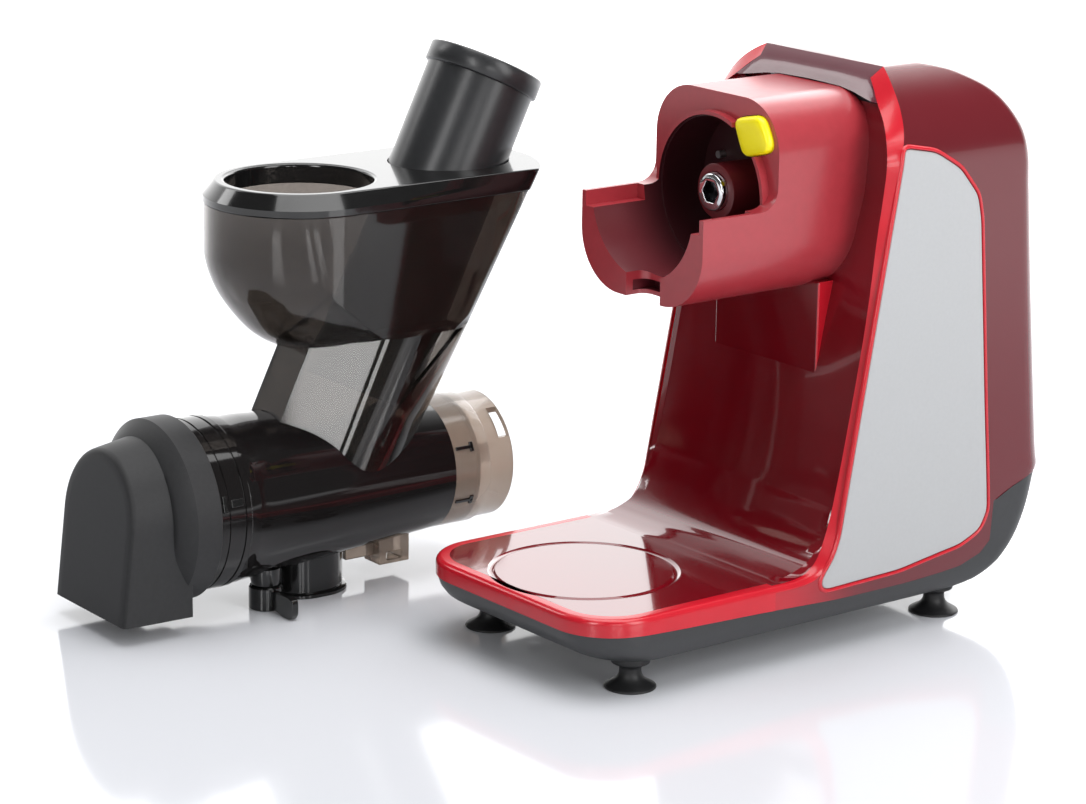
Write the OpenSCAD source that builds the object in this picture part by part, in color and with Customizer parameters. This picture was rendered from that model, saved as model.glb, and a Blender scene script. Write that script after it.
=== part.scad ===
// Horizontal slow juicer: a motor unit on a deck, and its juicing head stood beside it.
// Front of the motor unit faces -Y, its side panels face +X and -X, and +Z is up.

/* [Motor unit] */
// Width of the deck and of the tower's foot
unit_w = 174; // [166:1:184]
// Distance from the foot pattern's centre to the front edge of the deck
deck_front = 157; // [152:1:165]
// Distance from the foot pattern's centre to the back of the tower
rear_y = 185; // [181:1:195]
// Height of the tower's flat top
top_z = 328; // [322:1:340]
// Height of the deck's top face
deck_z = 47.5; // [44:0.5:50]
// How much each side leans in by the shoulder
side_lean = 3; // [0:0.5:5]
// Depth of the shoulders below the tower's top
shoulder_drop = 53; // [46:1:57]
// Radius of the shoulders
shoulder_r = 58; // [55:1:64]
// Height of the tray's underside
tray_z = 18; // [15:0.5:20]
// Wall of the red mouldings and the tray
wall_t = 3.2; // [2.6:0.1:3.6]
// Plan radius of the deck's front corners
deck_corner_r = 36; // [24:1:44]
// Radius of the back corners
rear_corner_r = 16; // [12:1:22]
// Width of the bevelled strip beside the front wall
strip_w = 5; // [3:0.5:7]
// Distance from the tower's side to the recessed front wall
recess_in = 8; // [6:0.5:17]
// Outer radius of the ring groove in the deck
ring_r = 55; // [45:1:60]
// Width of the ring groove
ring_w = 4.5; // [3:0.5:6]
// Depth of the ring groove
ring_deep = 1.2; // [0.6:0.1:1.8]
// Distance from the foot pattern's centre to the ring's centre
ring_y = 98.5; // [92:0.5:100]

/* [Side panels and feet] */
// Thickness of a side panel
panel_t = 1.4; // [1:0.1:1.6]
// Gap round a side panel
panel_gap = 0.8; // [0.4:0.1:1.2]
// Distance from the tower's side to the feet
foot_in = 22.6; // [19:0.2:29]
// Half the spacing of the feet front to back
foot_y = 115.9; // [108:0.1:118]
// Radius of a suction cup
cup_r = 14.5; // [12:0.5:17]
// Height of a suction cup's skirt
cup_h = 6; // [4:0.5:7]
// Radius of a foot's neck
neck_r = 6; // [5:0.5:8]
// Radius of a foot's upper disc
foot_disc_r = 11; // [9:0.5:13]
// Thickness of a foot's upper disc
foot_disc_t = 4; // [3:0.5:5]

/* [Snout] */
// Half the width of the snout
snout_hw = 53.5; // [51:0.5:56]
// Depth of the drive axis below the tower's top
axis_drop = 71.5; // [69:0.5:76]
// Snout above the drive axis
snout_up = 57.5; // [55:0.5:59]
// Snout below the drive axis
snout_down = 56; // [53:0.5:58]
// Radius of the snout's top corners
snout_top_r = 30; // [22:1:36]
// Radius of the snout's bottom corners
snout_bot_r = 34; // [26:1:40]
// Distance of the snout's face in front of the foot pattern's centre
face_y = 8; // [4:0.5:12]
// Reach of the cradle in front of the foot pattern's centre
cradle_y = 62; // [54:1:68]
// Height of the cradle's rim below the drive axis
rim_drop = 1.8; // [0:0.2:4]
// Depth of the step inside the cradle's rim
rim_step = 8.7; // [4:0.1:10]
// Width of the cradle's outer rim
rim_w = 3.5; // [2.5:0.5:5]
// Radius of the socket
socket_r = 43.5; // [42.5:0.1:45]
// Depth of the socket's floor behind the foot pattern's centre
socket_floor_y = 20; // [16:0.5:24]
// Thickness of the socket's floor
socket_floor_t = 7; // [5:0.5:9]
// Outer radius of the socket's lip
lip_r = 46.5; // [45.2:0.1:48]
// How far the lip stands out of the face
lip_h = 4; // [2:0.5:6]
// Half the width of the bracket under the snout
bracket_hw = 44.6; // [36:0.2:50]
// Distance of the bracket's front face behind the foot pattern's centre
bracket_y = 33; // [31:0.5:36]
// Width of the notch in the cradle's front edge
notch_w = 30; // [20:1:36]
// Depth of the notch in the cradle's front edge
notch_deep = 14; // [8:1:20]

/* [Drive] */
// Radius of the hub's collar
collar_r = 16; // [14:0.5:18]
// Radius of the drive coupler
coupler_r = 10.9; // [10:0.1:12]
// Size across flats of the hexagonal socket
hex_af = 12; // [10:0.2:14]
// Depth of the hexagonal socket
hex_deep = 25; // [18:1:30]
// Radius of the output shaft
out_shaft_r = 8; // [6:0.5:8.5]
// Radius of the idler and motor shafts
thin_shaft_r = 4; // [3:0.5:5]
// Module of the output gear and the idler's small gear
mod_a = 2; // [1.8:0.1:2.1]
// Module of the idler's big gear and the motor pinion
mod_b = 1.5; // [1.3:0.1:1.6]
// Teeth of the output gear
teeth_out = 51; // [45:1:51]
// Teeth of the idler's small gear
teeth_small = 12; // [12:1:14]
// Teeth of the idler's big gear
teeth_big = 36; // [30:1:38]
// Teeth of the motor pinion
teeth_pinion = 12; // [12:1:14]
// Face width of the gears
gear_w = 12; // [8:1:13]
// Outer radius of the motor's stator
stator_r = 42; // [36:1:44]
// Bore radius of the stator
stator_bore_r = 24.2; // [20:0.2:26]
// Length of the stator
stator_len = 30; // [24:1:34]
// Air gap of the motor
air_gap = 0.6; // [0.4:0.1:1]
// Radius of the fan
fan_r = 30; // [24:1:36]
// Running clearance of shafts in their bores
run_gap = 0.08; // [0.05:0.01:0.1]
// Clearance round moving and dropped-in pieces
loose_gap = 0.4; // [0.3:0.05:0.6]

/* [Controls] */
// Travel of the release button
button_travel = 5; // [3:0.5:6]
// How far the release button stands out of the face
button_out = 4; // [2:0.5:5]
// Radius of the interlock pin
pin_r = 2.2; // [1.6:0.1:2.6]
// Width of the power switch's rocker
rocker_w = 19.4; // [16:0.2:22]
// Length of the power switch's rocker
rocker_l = 27; // [22:0.5:29]
// Height of the power switch
switch_z = 130; // [115:1:150]
// Width of the power switch's frame
bezel_w = 26; // [25:0.5:30]
// Length of the power switch's frame
bezel_l = 37; // [35:0.5:42]
// Radius of the cord gland
gland_r = 9; // [8:0.5:10]
// Bore radius of the cord gland
gland_bore_r = 3.6; // [3:0.1:4.5]
// Height of the cord gland
gland_z = 50; // [46:0.5:54]

/* [Head's place] */
// Head's place across, from the motor unit's middle
head_x = -191.2; // [-215:0.2:-185]
// Head's place front to back, from the foot pattern's centre
head_y = -310.3; // [-330:0.1:-290]
// Turn of the head on the floor
head_turn = -1.54; // [-4:0.01:4]

/* [Drum] */
// Height of the drum's axis above the floor
drum_h = 65.1; // [63:0.1:68]
// Distance from the hood's face to the drum's flange
flange_s = 65; // [60:1:70]
// Length of the drum's flange
flange_len = 15; // [10:1:20]
// Radius of the drum's flange
flange_r = 51; // [50:0.5:52.5]
// Radius of the drum's front
drum_front_r = 50; // [48:0.5:50.5]
// Radius of the drum's back
drum_back_r = 40.3; // [39:0.1:42]
// Radius of the drum's mounting end
mount_r = 38.8; // [38:0.1:39.5]
// Length of the drum's mounting end
mount_len = 18; // [12:1:22]
// Distance from the hood's face to the drum's mounting end
drum_end_s = 273; // [265:1:280]
// Wall of the drum
drum_t = 2.8; // [2.2:0.1:3.2]
// Length of the juice spout along the drum
spout_l = 48; // [40:1:54]
// Width of the juice spout
spout_w = 40; // [32:1:44]
// Distance from the hood's face to the spout's middle
spout_s = 146; // [142:1:150]
// Wall of the juice spout
spout_t = 2.6; // [2:0.1:3.5]
// Length of the locking lug
lug_l = 22; // [16:1:26]
// Width of the locking lug
lug_w = 17; // [12:1:22]

/* [End cap] */
// Length of the hood
hood_len = 44; // [38:1:48]
// Half the width of the hood
hood_hw = 42; // [38:0.5:44]
// Height of the hood above the drum's axis
hood_up = 48; // [45:0.5:50]
// Depth of the hood below the drum's axis
hood_down = 53.6; // [50:0.2:55]
// Wall of the hood
hood_t = 2.6; // [2:0.1:3.5]
// Radius of the cap's collar
cap_r = 54.2; // [53.5:0.1:55.5]
// Length of the cap's collar
cap_len = 20.5; // [16:0.5:20.5]

/* [Hopper and lid] */
// Distance from the hood's face to the cup's centre
cup_s = 144; // [140:1:148]
// Radius of the hopper cup
bowl_r = 56; // [54:0.5:58]
// Wall of the hopper
hopper_t = 2.6; // [2:0.1:3.2]
// Height of the hopper's rim above the drum's axis
hopper_rim_z = 172.5; // [168:0.5:176]
// Half the width of the hopper's back corners
back_hw = 51; // [49:0.5:53]
// Distance from the hood's face to the hopper's back corners
back_s = 272; // [269:1:276]
// Bulge of the hopper's back
back_bulge = 21; // [18:0.5:24]
// Thickness of the lid's top
lid_t = 2.6; // [2:0.1:3.5]
// Height of the lid
lid_h = 13; // [11:0.5:15]
// Overhang of the lid past the hopper
lid_over = 0.6; // [0.4:0.1:1.6]
// Slope of the lid's edge inwards, at the cup
lid_in = 7; // [4:0.5:8]
// Distance from the cup's side to the lid's feed opening
feed_in = 12.5; // [11:0.5:14]
// Depth of the skirt under the feed opening
skirt_deep = 30; // [20:1:34]

/* [Chute and pusher] */
// Lean of the chute towards the mounting end
chute_lean = 26; // [24:0.5:27]
// Where the chute's axis meets the drum's axis, from the hood's face
chute_s = 159.2; // [157:0.2:161]
// Radius of the pusher
pusher_r = 33.3; // [32:0.1:34]
// Radius of the pusher's cap
pusher_cap_r = 35.3; // [34.8:0.1:37]
// Height of the pusher's cap
pusher_cap_h = 12; // [8:1:16]
// Length of the pusher with its cap
pusher_len = 213; // [200:1:213]
// Distance from the drum's axis to the pusher's top, along the chute
pusher_top_l = 270; // [262:1:275]
// Wall of the pusher
pusher_t = 2.4; // [2:0.1:3]
// Outer radius of the chute
chute_r = 42.5; // [41:0.1:43]
// Half the width of the chute's flat front
chute_flat_hw = 16; // [12:1:20]
// Distance of the chute's flat front from its axis
chute_front = 55; // [52:0.5:57]

/* [Auger] */
// Radius of the auger's flight
flight_r = 34.5; // [32:0.1:35]
// Radius of the auger's core at the front
core_front_r = 23; // [20:0.5:26]
// Radius of the auger's core at the back
core_back_r = 15; // [13:0.5:18]
// Turns of the auger's flight
flight_turns = 4; // [3:0.5:5]
// Radius of the auger's drive shaft
auger_shaft_r = 7; // [6:0.1:7.5]
// Wall of the juice screen
screen_t = 1.4; // [1:0.1:2]
// Slots round the juice screen
screen_slots = 16; // [8:1:20]

/* [Hidden] */

$fn = 96;
over = 1;
hw = unit_w / 2;
shoulder_z = top_z - shoulder_drop;
axis_z = top_z - axis_drop;
recess_w = unit_w - 2 * recess_in;
foot_x = hw - foot_in;
feed_r = bowl_r - feed_in;
shoulder_x = hw - side_lean - shoulder_r;
shoulder_a = asin((top_z - shoulder_z) / shoulder_r);
far = unit_w + rear_y + deck_front;

// Shares of the tower's depth and height
bottom_shares = [[0.57, 0], [0.746, 0.006], [0.832, 0.026], [0.919, 0.074], [0.968, 0.129]];
back_shares = [[0.995, 0.244], [1, 0.262], [0.989, 0.3], [0.935, 0.561], [0.897, 0.78],
    [0.884, 0.835], [0.846, 0.893], [0.773, 0.948], [0.676, 0.98], [0.54, 0.996]];
brow_shares = [[0.389, 1], [0.349, 0.98], [0.31, 0.942], [0.27, 0.882]];
strip_shares = [[0.268, 0.841], [0.238, 0.723], [0.2, 0.567], [0.135, 0.378],
    [0.094, 0.274], [0.08, 0.244], [0.059, 0.207], [0.03, 0.174], [-0.012, 0.152]];
wall_shares = [[0.314, 0.96], [0.319, 0.869], [0.308, 0.788], [0.285, 0.729],
    [0.247, 0.671], [0.178, 0.466], [0.13, 0.33], [0.103, 0.27], [0.062, 0.21],
    [0, 0.168], [-0.08, 0.15]];
seam_shares = [[-0.692, 0.114], [-0.54, 0.11], [-0.222, 0.104], [0.103, 0.0955],
    [0.357, 0.0945], [0.53, 0.099], [0.616, 0.103], [0.703, 0.118], [0.746, 0.138],
    [0.757, 0.21], [0.832, 0.229], [0.946, 0.25]];
split_shares = [[0.389, 1], [0.357, 0.942], [0.297, 0.884], [0.295, 0.841],
    [0.265, 0.723], [0.227, 0.567], [0.162, 0.378], [0.121, 0.274], [0.16, 0.183],
    [0.676, 0.177], [0.752, 0.19]];
panel_shares = [[0.319, 0.878], [0.449, 0.864], [0.557, 0.829], [0.636, 0.777],
    [0.654, 0.732], [0.7, 0.402], [0.723, 0.253], [0.73, 0.195], [0.697, 0.162],
    [0.611, 0.142], [0.524, 0.136], [0.351, 0.122], [0.143, 0.119], [0.04, 0.117],
    [0.018, 0.125], [0.025, 0.142], [0.068, 0.171], [0.094, 0.205]];
arch_shares = [[1, 1.3], [0.98, 0.83], [0.89, 0.42], [0.76, 0.18], [0.56, 0.1], [0.33, 0.02]];
nose_r = wall_t;
tray_nose_share = 0.6;

function unit_pt(p) = [p[0] * rear_y, p[1] * top_z];
function low_pt(p) = [p[0] * rear_y, tray_z + p[1] * top_z];
function arc(cx, cy, r, a0, a1, n) =
    [for (i = [0:n]) let (a = a0 + (a1 - a0) * i / n) [cx + r * cos(a), cy + r * sin(a)]];
function unit_v(v) = v / norm(v);
function left_of(v) = [-v[1], v[0]];
function mitre(a, b, c, d) =
    let (p = left_of(unit_v(b - a)), q = left_of(unit_v(c - b)))
    b + d * (p + q) / (1 + p * q);
function inset(p, d) =
    [for (i = [0:len(p) - 1])
        mitre(p[(i + len(p) - 1) % len(p)], p[i], p[(i + 1) % len(p)], d)];
function cr(a, b, c, d, t) =
    0.5 * (2 * b + (c - a) * t + (2 * a - 5 * b + 4 * c - d) * t * t
        + (3 * b - a - 3 * c + d) * t * t * t);
function smooth(p, n) =
    let (k = len(p))
    concat([for (i = [0:k - 2], j = [0:n - 1])
        cr(p[max(i - 1, 0)], p[i], p[i + 1], p[min(i + 2, k - 1)], j / n)], [p[k - 1]]);
function flip(p) = [for (i = [len(p) - 1:-1:0]) [-p[i][0], p[i][1]]];
function back_to_front(p) = [for (i = [len(p) - 1:-1:0]) p[i]];

strip_line = smooth([for (p = strip_shares) unit_pt(p)], 3);
wall_line = smooth([for (p = wall_shares) unit_pt(p)], 3);
wall_foot = wall_line[len(wall_line) - 1];
seam_line = [for (p = seam_shares) unit_pt(p)];
split_line = [for (p = split_shares) unit_pt(p)];
panel_line = back_to_front([for (p = panel_shares) unit_pt(p)]);
seam_front_z = seam_line[0][1];
tray_nose = tray_nose_share * (seam_front_z - tray_z);

// Side outline of the whole motor unit above its feet
outline = concat(
    [[-deck_front + 2 * tray_nose, tray_z]],
    smooth([for (p = bottom_shares) low_pt(p)], 2),
    smooth([for (p = back_shares) unit_pt(p)], 2),
    [for (p = brow_shares) unit_pt(p)],
    strip_line,
    [[wall_foot[0], deck_z]],
    [[-deck_front + nose_r, deck_z], [-deck_front, deck_z - nose_r],
     [-deck_front, seam_front_z], [-deck_front + tray_nose / 2, seam_front_z - tray_nose]]);

half_front = concat([[hw, 0], [hw, deck_z]],
    arc(shoulder_x, shoulder_z, shoulder_r, 0, shoulder_a, 8));
front_outline = concat(half_front, flip(half_front));

function plan_outline(rf, rr) = concat(
    arc(hw - rf, -deck_front + rf, rf, -90, 0, 8),
    arc(hw - rr, rear_y - rr, rr, 0, 90, 6),
    arc(-hw + rr, rear_y - rr, rr, 90, 180, 6),
    arc(-hw + rf, -deck_front + rf, rf, 180, 270, 8));
deck_plan = plan_outline(deck_corner_r, rear_corner_r);
lean_plan = concat(arc(hw - rear_corner_r, rear_y - rear_corner_r, rear_corner_r, 0, 90, 6),
    arc(-hw + rear_corner_r, rear_y - rear_corner_r, rear_corner_r, 90, 180, 6),
    [[-hw, -far], [hw, -far]]);
back_lean = atan2(back_shares[2][0] * rear_y - back_shares[3][0] * rear_y,
    back_shares[3][1] * top_z - back_shares[2][1] * top_z);

module along_x(w) {
    rotate([90, 0, 90])
        linear_extrude(w, center = true)
            children();
}

module along_y(y0, y1) {
    translate([0, y1, 0])
        rotate([90, 0, 0])
            linear_extrude(y1 - y0)
                children();
}

module rod(r, y0, y1) {
    translate([0, y0, 0])
        rotate([-90, 0, 0])
            cylinder(r = r, h = y1 - y0);
}

module ring_y_axis(r_out, r_in, y0, y1) {
    difference() {
        rod(r_out, y0, y1);
        rod(r_in, y0 - over, y1 + over);
    }
}

module turned(points) {
    rotate([-90, 0, 0])
        rotate_extrude()
            polygon(points);
}

// The set stands with its bounding box centred on the origin
function head_pt(v, s) = [head_x + v * cos(head_turn) - s * sin(head_turn),
    head_y + v * sin(head_turn) + s * cos(head_turn)];
lid_left = head_pt(0, cup_s)[0] - bowl_r - lid_over;
hood_front = min(head_pt(hood_hw, 0)[1], head_pt(-hood_hw, 0)[1]);
set_x = (hw + lid_left) / 2;
set_y = (rear_y + hood_front) / 2;

module on_unit() {
    translate([-set_x, -set_y, 0])
        children();
}

module on_head() {
    on_unit()
        translate([head_x, head_y, drum_h])
            rotate([0, 0, head_turn])
                children();
}

module on_axis() {
    translate([0, 0, axis_z])
        children();
}

// Housing

module envelope(d) {
    intersection() {
        along_x(unit_w + over) polygon(inset(outline, d));
        along_y(-deck_front, rear_y) polygon(inset(front_outline, d));
        linear_extrude(top_z) polygon(inset(deck_plan, d));
        translate([0, back_shares[2][0] * rear_y, back_shares[2][1] * top_z])
            rotate([back_lean, 0, 0])
                translate([0, -rear_y, -top_z])
                    linear_extrude(2 * far) polygon(inset(lean_plan, d));
    }
}

module front_of_wall() {
    along_x(unit_w)
        polygon(concat(wall_line, [[wall_foot[0], deck_z], [-far, deck_z], [-far, wall_line[0][1]]]));
}

module recess_outline() {
    r_hw = recess_w / 2;
    arch = wall_line[0][1] - wall_line[3][1];
    right = [for (p = arch_shares) [p[0] * r_hw, wall_line[0][1] - p[1] * arch]];
    polygon(concat([[-r_hw, 0], [r_hw, 0]], right, flip(right)));
}

module recess_cut() {
    intersection() {
        front_of_wall();
        along_y(-deck_front, rear_y) recess_outline();
    }
}

module wall_skin() {
    back = [for (p = wall_line) p + [wall_t, 0]];
    intersection() {
        along_x(recess_w + 2 * wall_t)
            polygon(concat(wall_line, [[wall_foot[0], deck_z], [wall_foot[0], deck_z - wall_t]],
                [[wall_foot[0] + wall_t, deck_z - wall_t]], back_to_front(back)));
        envelope(0);
    }
}

// Bevels of the two strips, one straight cut for each stretch
bevel_line = [split_line[2], split_line[3], split_line[4], split_line[5], split_line[6],
    split_line[7]];

module strip_bevels() {
    for (side = [-1, 1], i = [0:len(bevel_line) - 2])
        bevel_cut(side, bevel_line[i], bevel_line[i + 1]);
}

module bevel_cut(side, a, b) {
    d = b - a;
    span = norm(d);
    lean = atan2(d[0], d[1]);
    edge_x = hw - side_lean * (a[1] + b[1]) / 2 / shoulder_z;
    translate([side * edge_x, a[0], a[1]])
        rotate([-lean, 0, 0])
            rotate([0, 0, side > 0 ? -45 : -135])
                translate([0, -2 * strip_w, 0])
                    translate([0, 0, -over])
                        cube([4 * strip_w, 4 * strip_w, span + 2 * over]);
}

module tray_zone() {
    along_x(unit_w + over)
        polygon(concat([[-far, 0], [far, 0], [far, seam_line[len(seam_line) - 1][1]]],
            back_to_front(seam_line), [[-far, seam_front_z]]));
}

module front_zone() {
    along_x(unit_w + over)
        polygon(concat([[-far, top_z + over], [-far, -over]],
            [[split_line[len(split_line) - 1][0], -over]],
            back_to_front(split_line), [[split_line[0][0], top_z + over]]));
}

module panel_plate(d, depth) {
    intersection() {
        along_x(unit_w + over) polygon(inset(panel_line, d));
        difference() {
            along_y(-deck_front, rear_y) polygon(front_outline);
            along_y(-deck_front - over, rear_y + over) polygon(inset(front_outline, depth));
        }
    }
}

module shell() {
    difference() {
        envelope(0);
        envelope(wall_t);
    }
}

module front_housing() {
    color("#9c1620")
        on_unit()
            difference() {
                union() {
                    difference() {
                        intersection() {
                            shell();
                            front_zone();
                        }
                        recess_cut();
                    }
                    wall_skin();
                }
                tray_zone();
                strip_bevels();
                panel_plate(0, panel_t + over / 4);
                translate([0, -ring_y, deck_z - ring_deep])
                    difference() {
                        cylinder(r = ring_r, h = 2 * ring_deep);
                        cylinder(r = ring_r - ring_w, h = 2 * ring_deep);
                    }
                on_axis() rod(collar_r + over, socket_floor_y, rear_y / 2);
            }
}

switch_y = back_shares[2][0] * rear_y - (switch_z - back_shares[2][1] * top_z) * tan(back_lean);

module on_back() {
    translate([0, switch_y, switch_z])
        rotate([back_lean, 0, 0])
            children();
}

module rear_housing() {
    color("#8a1a26")
        on_unit()
            difference() {
                shell();
                front_zone();
                wall_skin();
                recess_cut();
                tray_zone();
                panel_plate(0, panel_t + over / 4);
                on_back()
                    cube([bezel_body_w + 2 * loose_gap, 8 * wall_t, bezel_body_l + 2 * loose_gap],
                        center = true);
            }
}

module side_panel(side) {
    color("#cfcfcf")
        on_unit()
            intersection() {
                panel_plate(panel_gap, panel_t);
                translate([side > 0 ? 0 : -hw - over, -deck_front, 0])
                    cube([hw + over, rear_y + deck_front, top_z]);
            }
}

module side_panel_right() { side_panel(1); }
module side_panel_left() { side_panel(-1); }

screw_r = 1.9;
screw_head_r = 3.6;
screw_head_h = 2.2;
boss_r = 4.5;
board_w = 90;
board_l = 56;
board_t = 1.6;
board_y = rear_y - 2 * board_l - board_t;
board_z = tray_z + wall_t + 4 * board_t;
tray_inset = wall_t / 3;
tray_screw_x = hw - deck_corner_r / 2 - boss_r;
tray_screw_ys = [-foot_y + 3 * foot_disc_r, 0, foot_y - 3 * foot_disc_r];

module board_spots() {
    for (a = [-1, 1], b = [-1, 1])
        translate([a * (board_w / 2 - boss_r), board_y + b * (board_l / 2 - boss_r), 0])
            children();
}

module tray_screw_spots() {
    for (a = [-1, 1], y = tray_screw_ys)
        translate([a * tray_screw_x, y, tray_z])
            children();
}

module foot_spots() {
    for (a = [-1, 1], b = [-1, 1])
        translate([a * foot_x, b * foot_y, 0])
            children();
}

module base_tray() {
    color("#3c3d40")
        on_unit() {
            difference() {
                union() {
                    intersection() {
                        difference() {
                            envelope(tray_inset);
                            envelope(wall_t + tray_inset);
                        }
                        tray_zone();
                    }
                    board_spots()
                        translate([0, 0, tray_z + wall_t])
                            cylinder(r = boss_r, h = board_z - tray_z - wall_t);
                }
                translate([0, 0, gland_z]) rod(gland_r + run_gap, rear_y - 6 * gland_r, rear_y + over);
                tray_screw_spots()
                    translate([0, 0, -over])
                        cylinder(r = screw_r + run_gap, h = 2 * wall_t);
            }
        }
}

module tray_screws() {
    color("#9a9a9a")
        on_unit()
            tray_screw_spots() {
                translate([0, 0, tray_inset - screw_head_h])
                    cylinder(r = screw_head_r, h = screw_head_h);
                translate([0, 0, tray_inset - screw_head_h / 2])
                    cylinder(r = screw_r, h = 2 * wall_t);
            }
}

module feet() {
    color("#1b1b1c")
        on_unit()
            foot_spots() {
                cylinder(r1 = cup_r, r2 = neck_r + over, h = cup_h);
                translate([0, 0, cup_h / 2])
                    cylinder(r = neck_r, h = tray_z + tray_inset - cup_h / 2);
                translate([0, 0, tray_z + tray_inset - foot_disc_t])
                    cylinder(r = foot_disc_r, h = foot_disc_t);
            }
}

// Snout, socket and cradle

cradle_gap = 2 * loose_gap;
pin_x = -26;
pin_up = 14.5;
notch_x_share = 0.05;
button_shares = [[0.33, 0.99], [0.35, 1.045], [0.7, 1.14], [0.79, 1.1], [0.92, 0.81], [0.9, 0.69],
    [0.56, 0.56], [0.49, 0.57], [0.41, 0.77]];
button_line = back_to_front([for (p = button_shares) [p[0] * snout_hw, p[1] * socket_r]]);

snout_section = concat(
    arc(snout_hw - snout_bot_r, -snout_down + snout_bot_r, snout_bot_r, -90, 0, 8),
    arc(snout_hw - snout_top_r, snout_up - snout_top_r, snout_top_r, 0, 90, 8),
    arc(-snout_hw + snout_top_r, snout_up - snout_top_r, snout_top_r, 90, 180, 8),
    arc(-snout_hw + snout_bot_r, -snout_down + snout_bot_r, snout_bot_r, 180, 270, 8));

module behind_wall(d) {
    along_x(unit_w)
        polygon(concat([for (p = wall_line) p + [d, 0]],
            [[wall_foot[0] + d, 0], [far, 0], [far, top_z + rear_y]],
            [[wall_line[0][0] + d, top_z + rear_y]]));
}

module cradle_cut() {
    translate([-snout_hw - over, -cradle_y - over, -rim_drop])
        cube([2 * (snout_hw + over), cradle_y + over - face_y, 2 * snout_up]);
    translate([-snout_hw + rim_w, -cradle_y - over, -rim_drop - rim_step])
        cube([2 * (snout_hw - rim_w), cradle_y + over - face_y, 2 * snout_up]);
}

module snout() {
    color("#a62c30")
        on_unit()
            difference() {
                on_axis()
                    difference() {
                        union() {
                            difference() {
                                along_y(-cradle_y, wall_line[0][0] + over) polygon(snout_section);
                                cradle_cut();
                            }
                            rod(lip_r, -face_y - lip_h, -face_y);
                        }
                        rod(socket_r, -cradle_y - over, socket_floor_y);
                        rod(socket_r + cradle_gap, -cradle_y - over, -face_y - lip_h);
                        rod(socket_r - wall_t, socket_floor_y + socket_floor_t, rear_y);
                        rod(collar_r, 0, rear_y / 2);
                        translate([pin_x, 0, pin_up]) rod(pin_r + loose_gap / 2, 0, rear_y / 2);
                        along_y(-cradle_y, socket_floor_y - button_out) polygon(inset(button_line, -loose_gap));
                        translate([notch_x_share * snout_hw - notch_w / 2, -cradle_y - over, -snout_down - over])
                            cube([notch_w, notch_deep + over, snout_down]);
                    }
                behind_wall(0);
            }
}

module snout_bracket() {
    color("#7d1a22")
        on_unit()
            difference() {
                translate([-bracket_hw, bracket_y, deck_z])
                    cube([2 * bracket_hw, rear_y / 2, axis_z - snout_down - deck_z]);
                behind_wall(0);
                on_axis() along_y(-cradle_y, rear_y) polygon(snout_section);
            }
}

module hub_collar() {
    color("#5d1a1f")
        on_unit() on_axis()
            ring_y_axis(collar_r, coupler_r + run_gap, -face_y, socket_floor_y + socket_floor_t);
}

module release_button() {
    color("#f5d90a")
        on_unit() on_axis()
            along_y(-face_y - button_out, socket_floor_y - button_out - button_travel - loose_gap)
                polygon(button_line);
}

module interlock_pin() {
    color("#b9b9b9")
        on_unit() on_axis()
            translate([pin_x, 0, pin_up]) {
                rod(pin_r, socket_floor_y - 2 * pin_r, socket_floor_y + socket_floor_t + pin_r);
                rod(2 * pin_r, socket_floor_y + socket_floor_t + loose_gap,
                    socket_floor_y + socket_floor_t + pin_r);
            }
}

// Gear train, all on axes along Y

press_angle = 25;
stub_share = 0.8;
root_share = 1.05;
backlash = 0.16;
plate_t = 3;
plate_front_y = wall_line[3][0] + 2 * wall_t + over;
gear_gap = 3;
gear_a_y = plate_front_y + plate_t + gear_gap;
gear_b_y = gear_a_y + gear_w + gear_gap;
plate_back_y = gear_b_y + gear_w + gear_gap;
idler_z = axis_z - mod_a * (teeth_out + teeth_small) / 2;
motor_z = idler_z - mod_b * (teeth_big + teeth_pinion) / 2;
coupler_front = -face_y - lip_h;
coupler_back = socket_floor_y + socket_floor_t + gear_gap;

function inv_a(r, rb) = sqrt(r * r / rb / rb - 1) * 180 / PI - acos(rb / r);
function flank(m, n, r, sgn) =
    let (rp = m * n / 2, rb = rp * cos(press_angle),
        half = 90 / n - backlash / 2 / rp * 180 / PI,
        q = half + inv_a(rp, rb) - inv_a(max(r, rb), rb))
    sgn * q;
function gear_points(m, n, turn) =
    let (rp = m * n / 2, rb = rp * cos(press_angle), ro = rp + stub_share * m,
        ri = rp - root_share * m, r0 = max(ri, rb), k = 4)
    [for (t = [0:n - 1]) let (c = turn + 360 * t / n)
        each concat(
            [[ri * cos(c + flank(m, n, r0, -1)), ri * sin(c + flank(m, n, r0, -1))]],
            [for (i = [0:k]) let (r = r0 + (ro - r0) * i / k, a = c + flank(m, n, r, -1))
                [r * cos(a), r * sin(a)]],
            [for (i = [k:-1:0]) let (r = r0 + (ro - r0) * i / k, a = c + flank(m, n, r, 1))
                [r * cos(a), r * sin(a)]],
            [[ri * cos(c + flank(m, n, r0, 1)), ri * sin(c + flank(m, n, r0, 1))]])];

module gear(m, n, turn, bore, y0, y1) {
    difference() {
        along_y(y0, y1) polygon(gear_points(m, n, turn));
        rod(bore, y0 - over, y1 + over);
    }
}

module hex_hole(af, y0, y1) {
    translate([0, y0, 0])
        rotate([-90, 0, 0])
            cylinder(r = af / sqrt(3), h = y1 - y0, $fn = 6);
}

module drive_coupler() {
    color("#c9c9cc")
        on_unit() on_axis()
            difference() {
                rod(coupler_r, coupler_front, coupler_back);
                hex_hole(hex_af, coupler_front - over, coupler_front + hex_deep);
                rod(out_shaft_r, coupler_back - 2 * gear_gap, coupler_back + over);
            }
}

module output_shaft() {
    color("#a9abae")
        on_unit() on_axis()
            rod(out_shaft_r, coupler_back - 2 * gear_gap, plate_back_y + plate_t);
}

module output_gear() {
    color("#e0dccb")
        on_unit() on_axis()
            gear(mod_a, teeth_out, -90 + 180 / teeth_out, out_shaft_r, gear_a_y, gear_a_y + gear_w);
}

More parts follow.
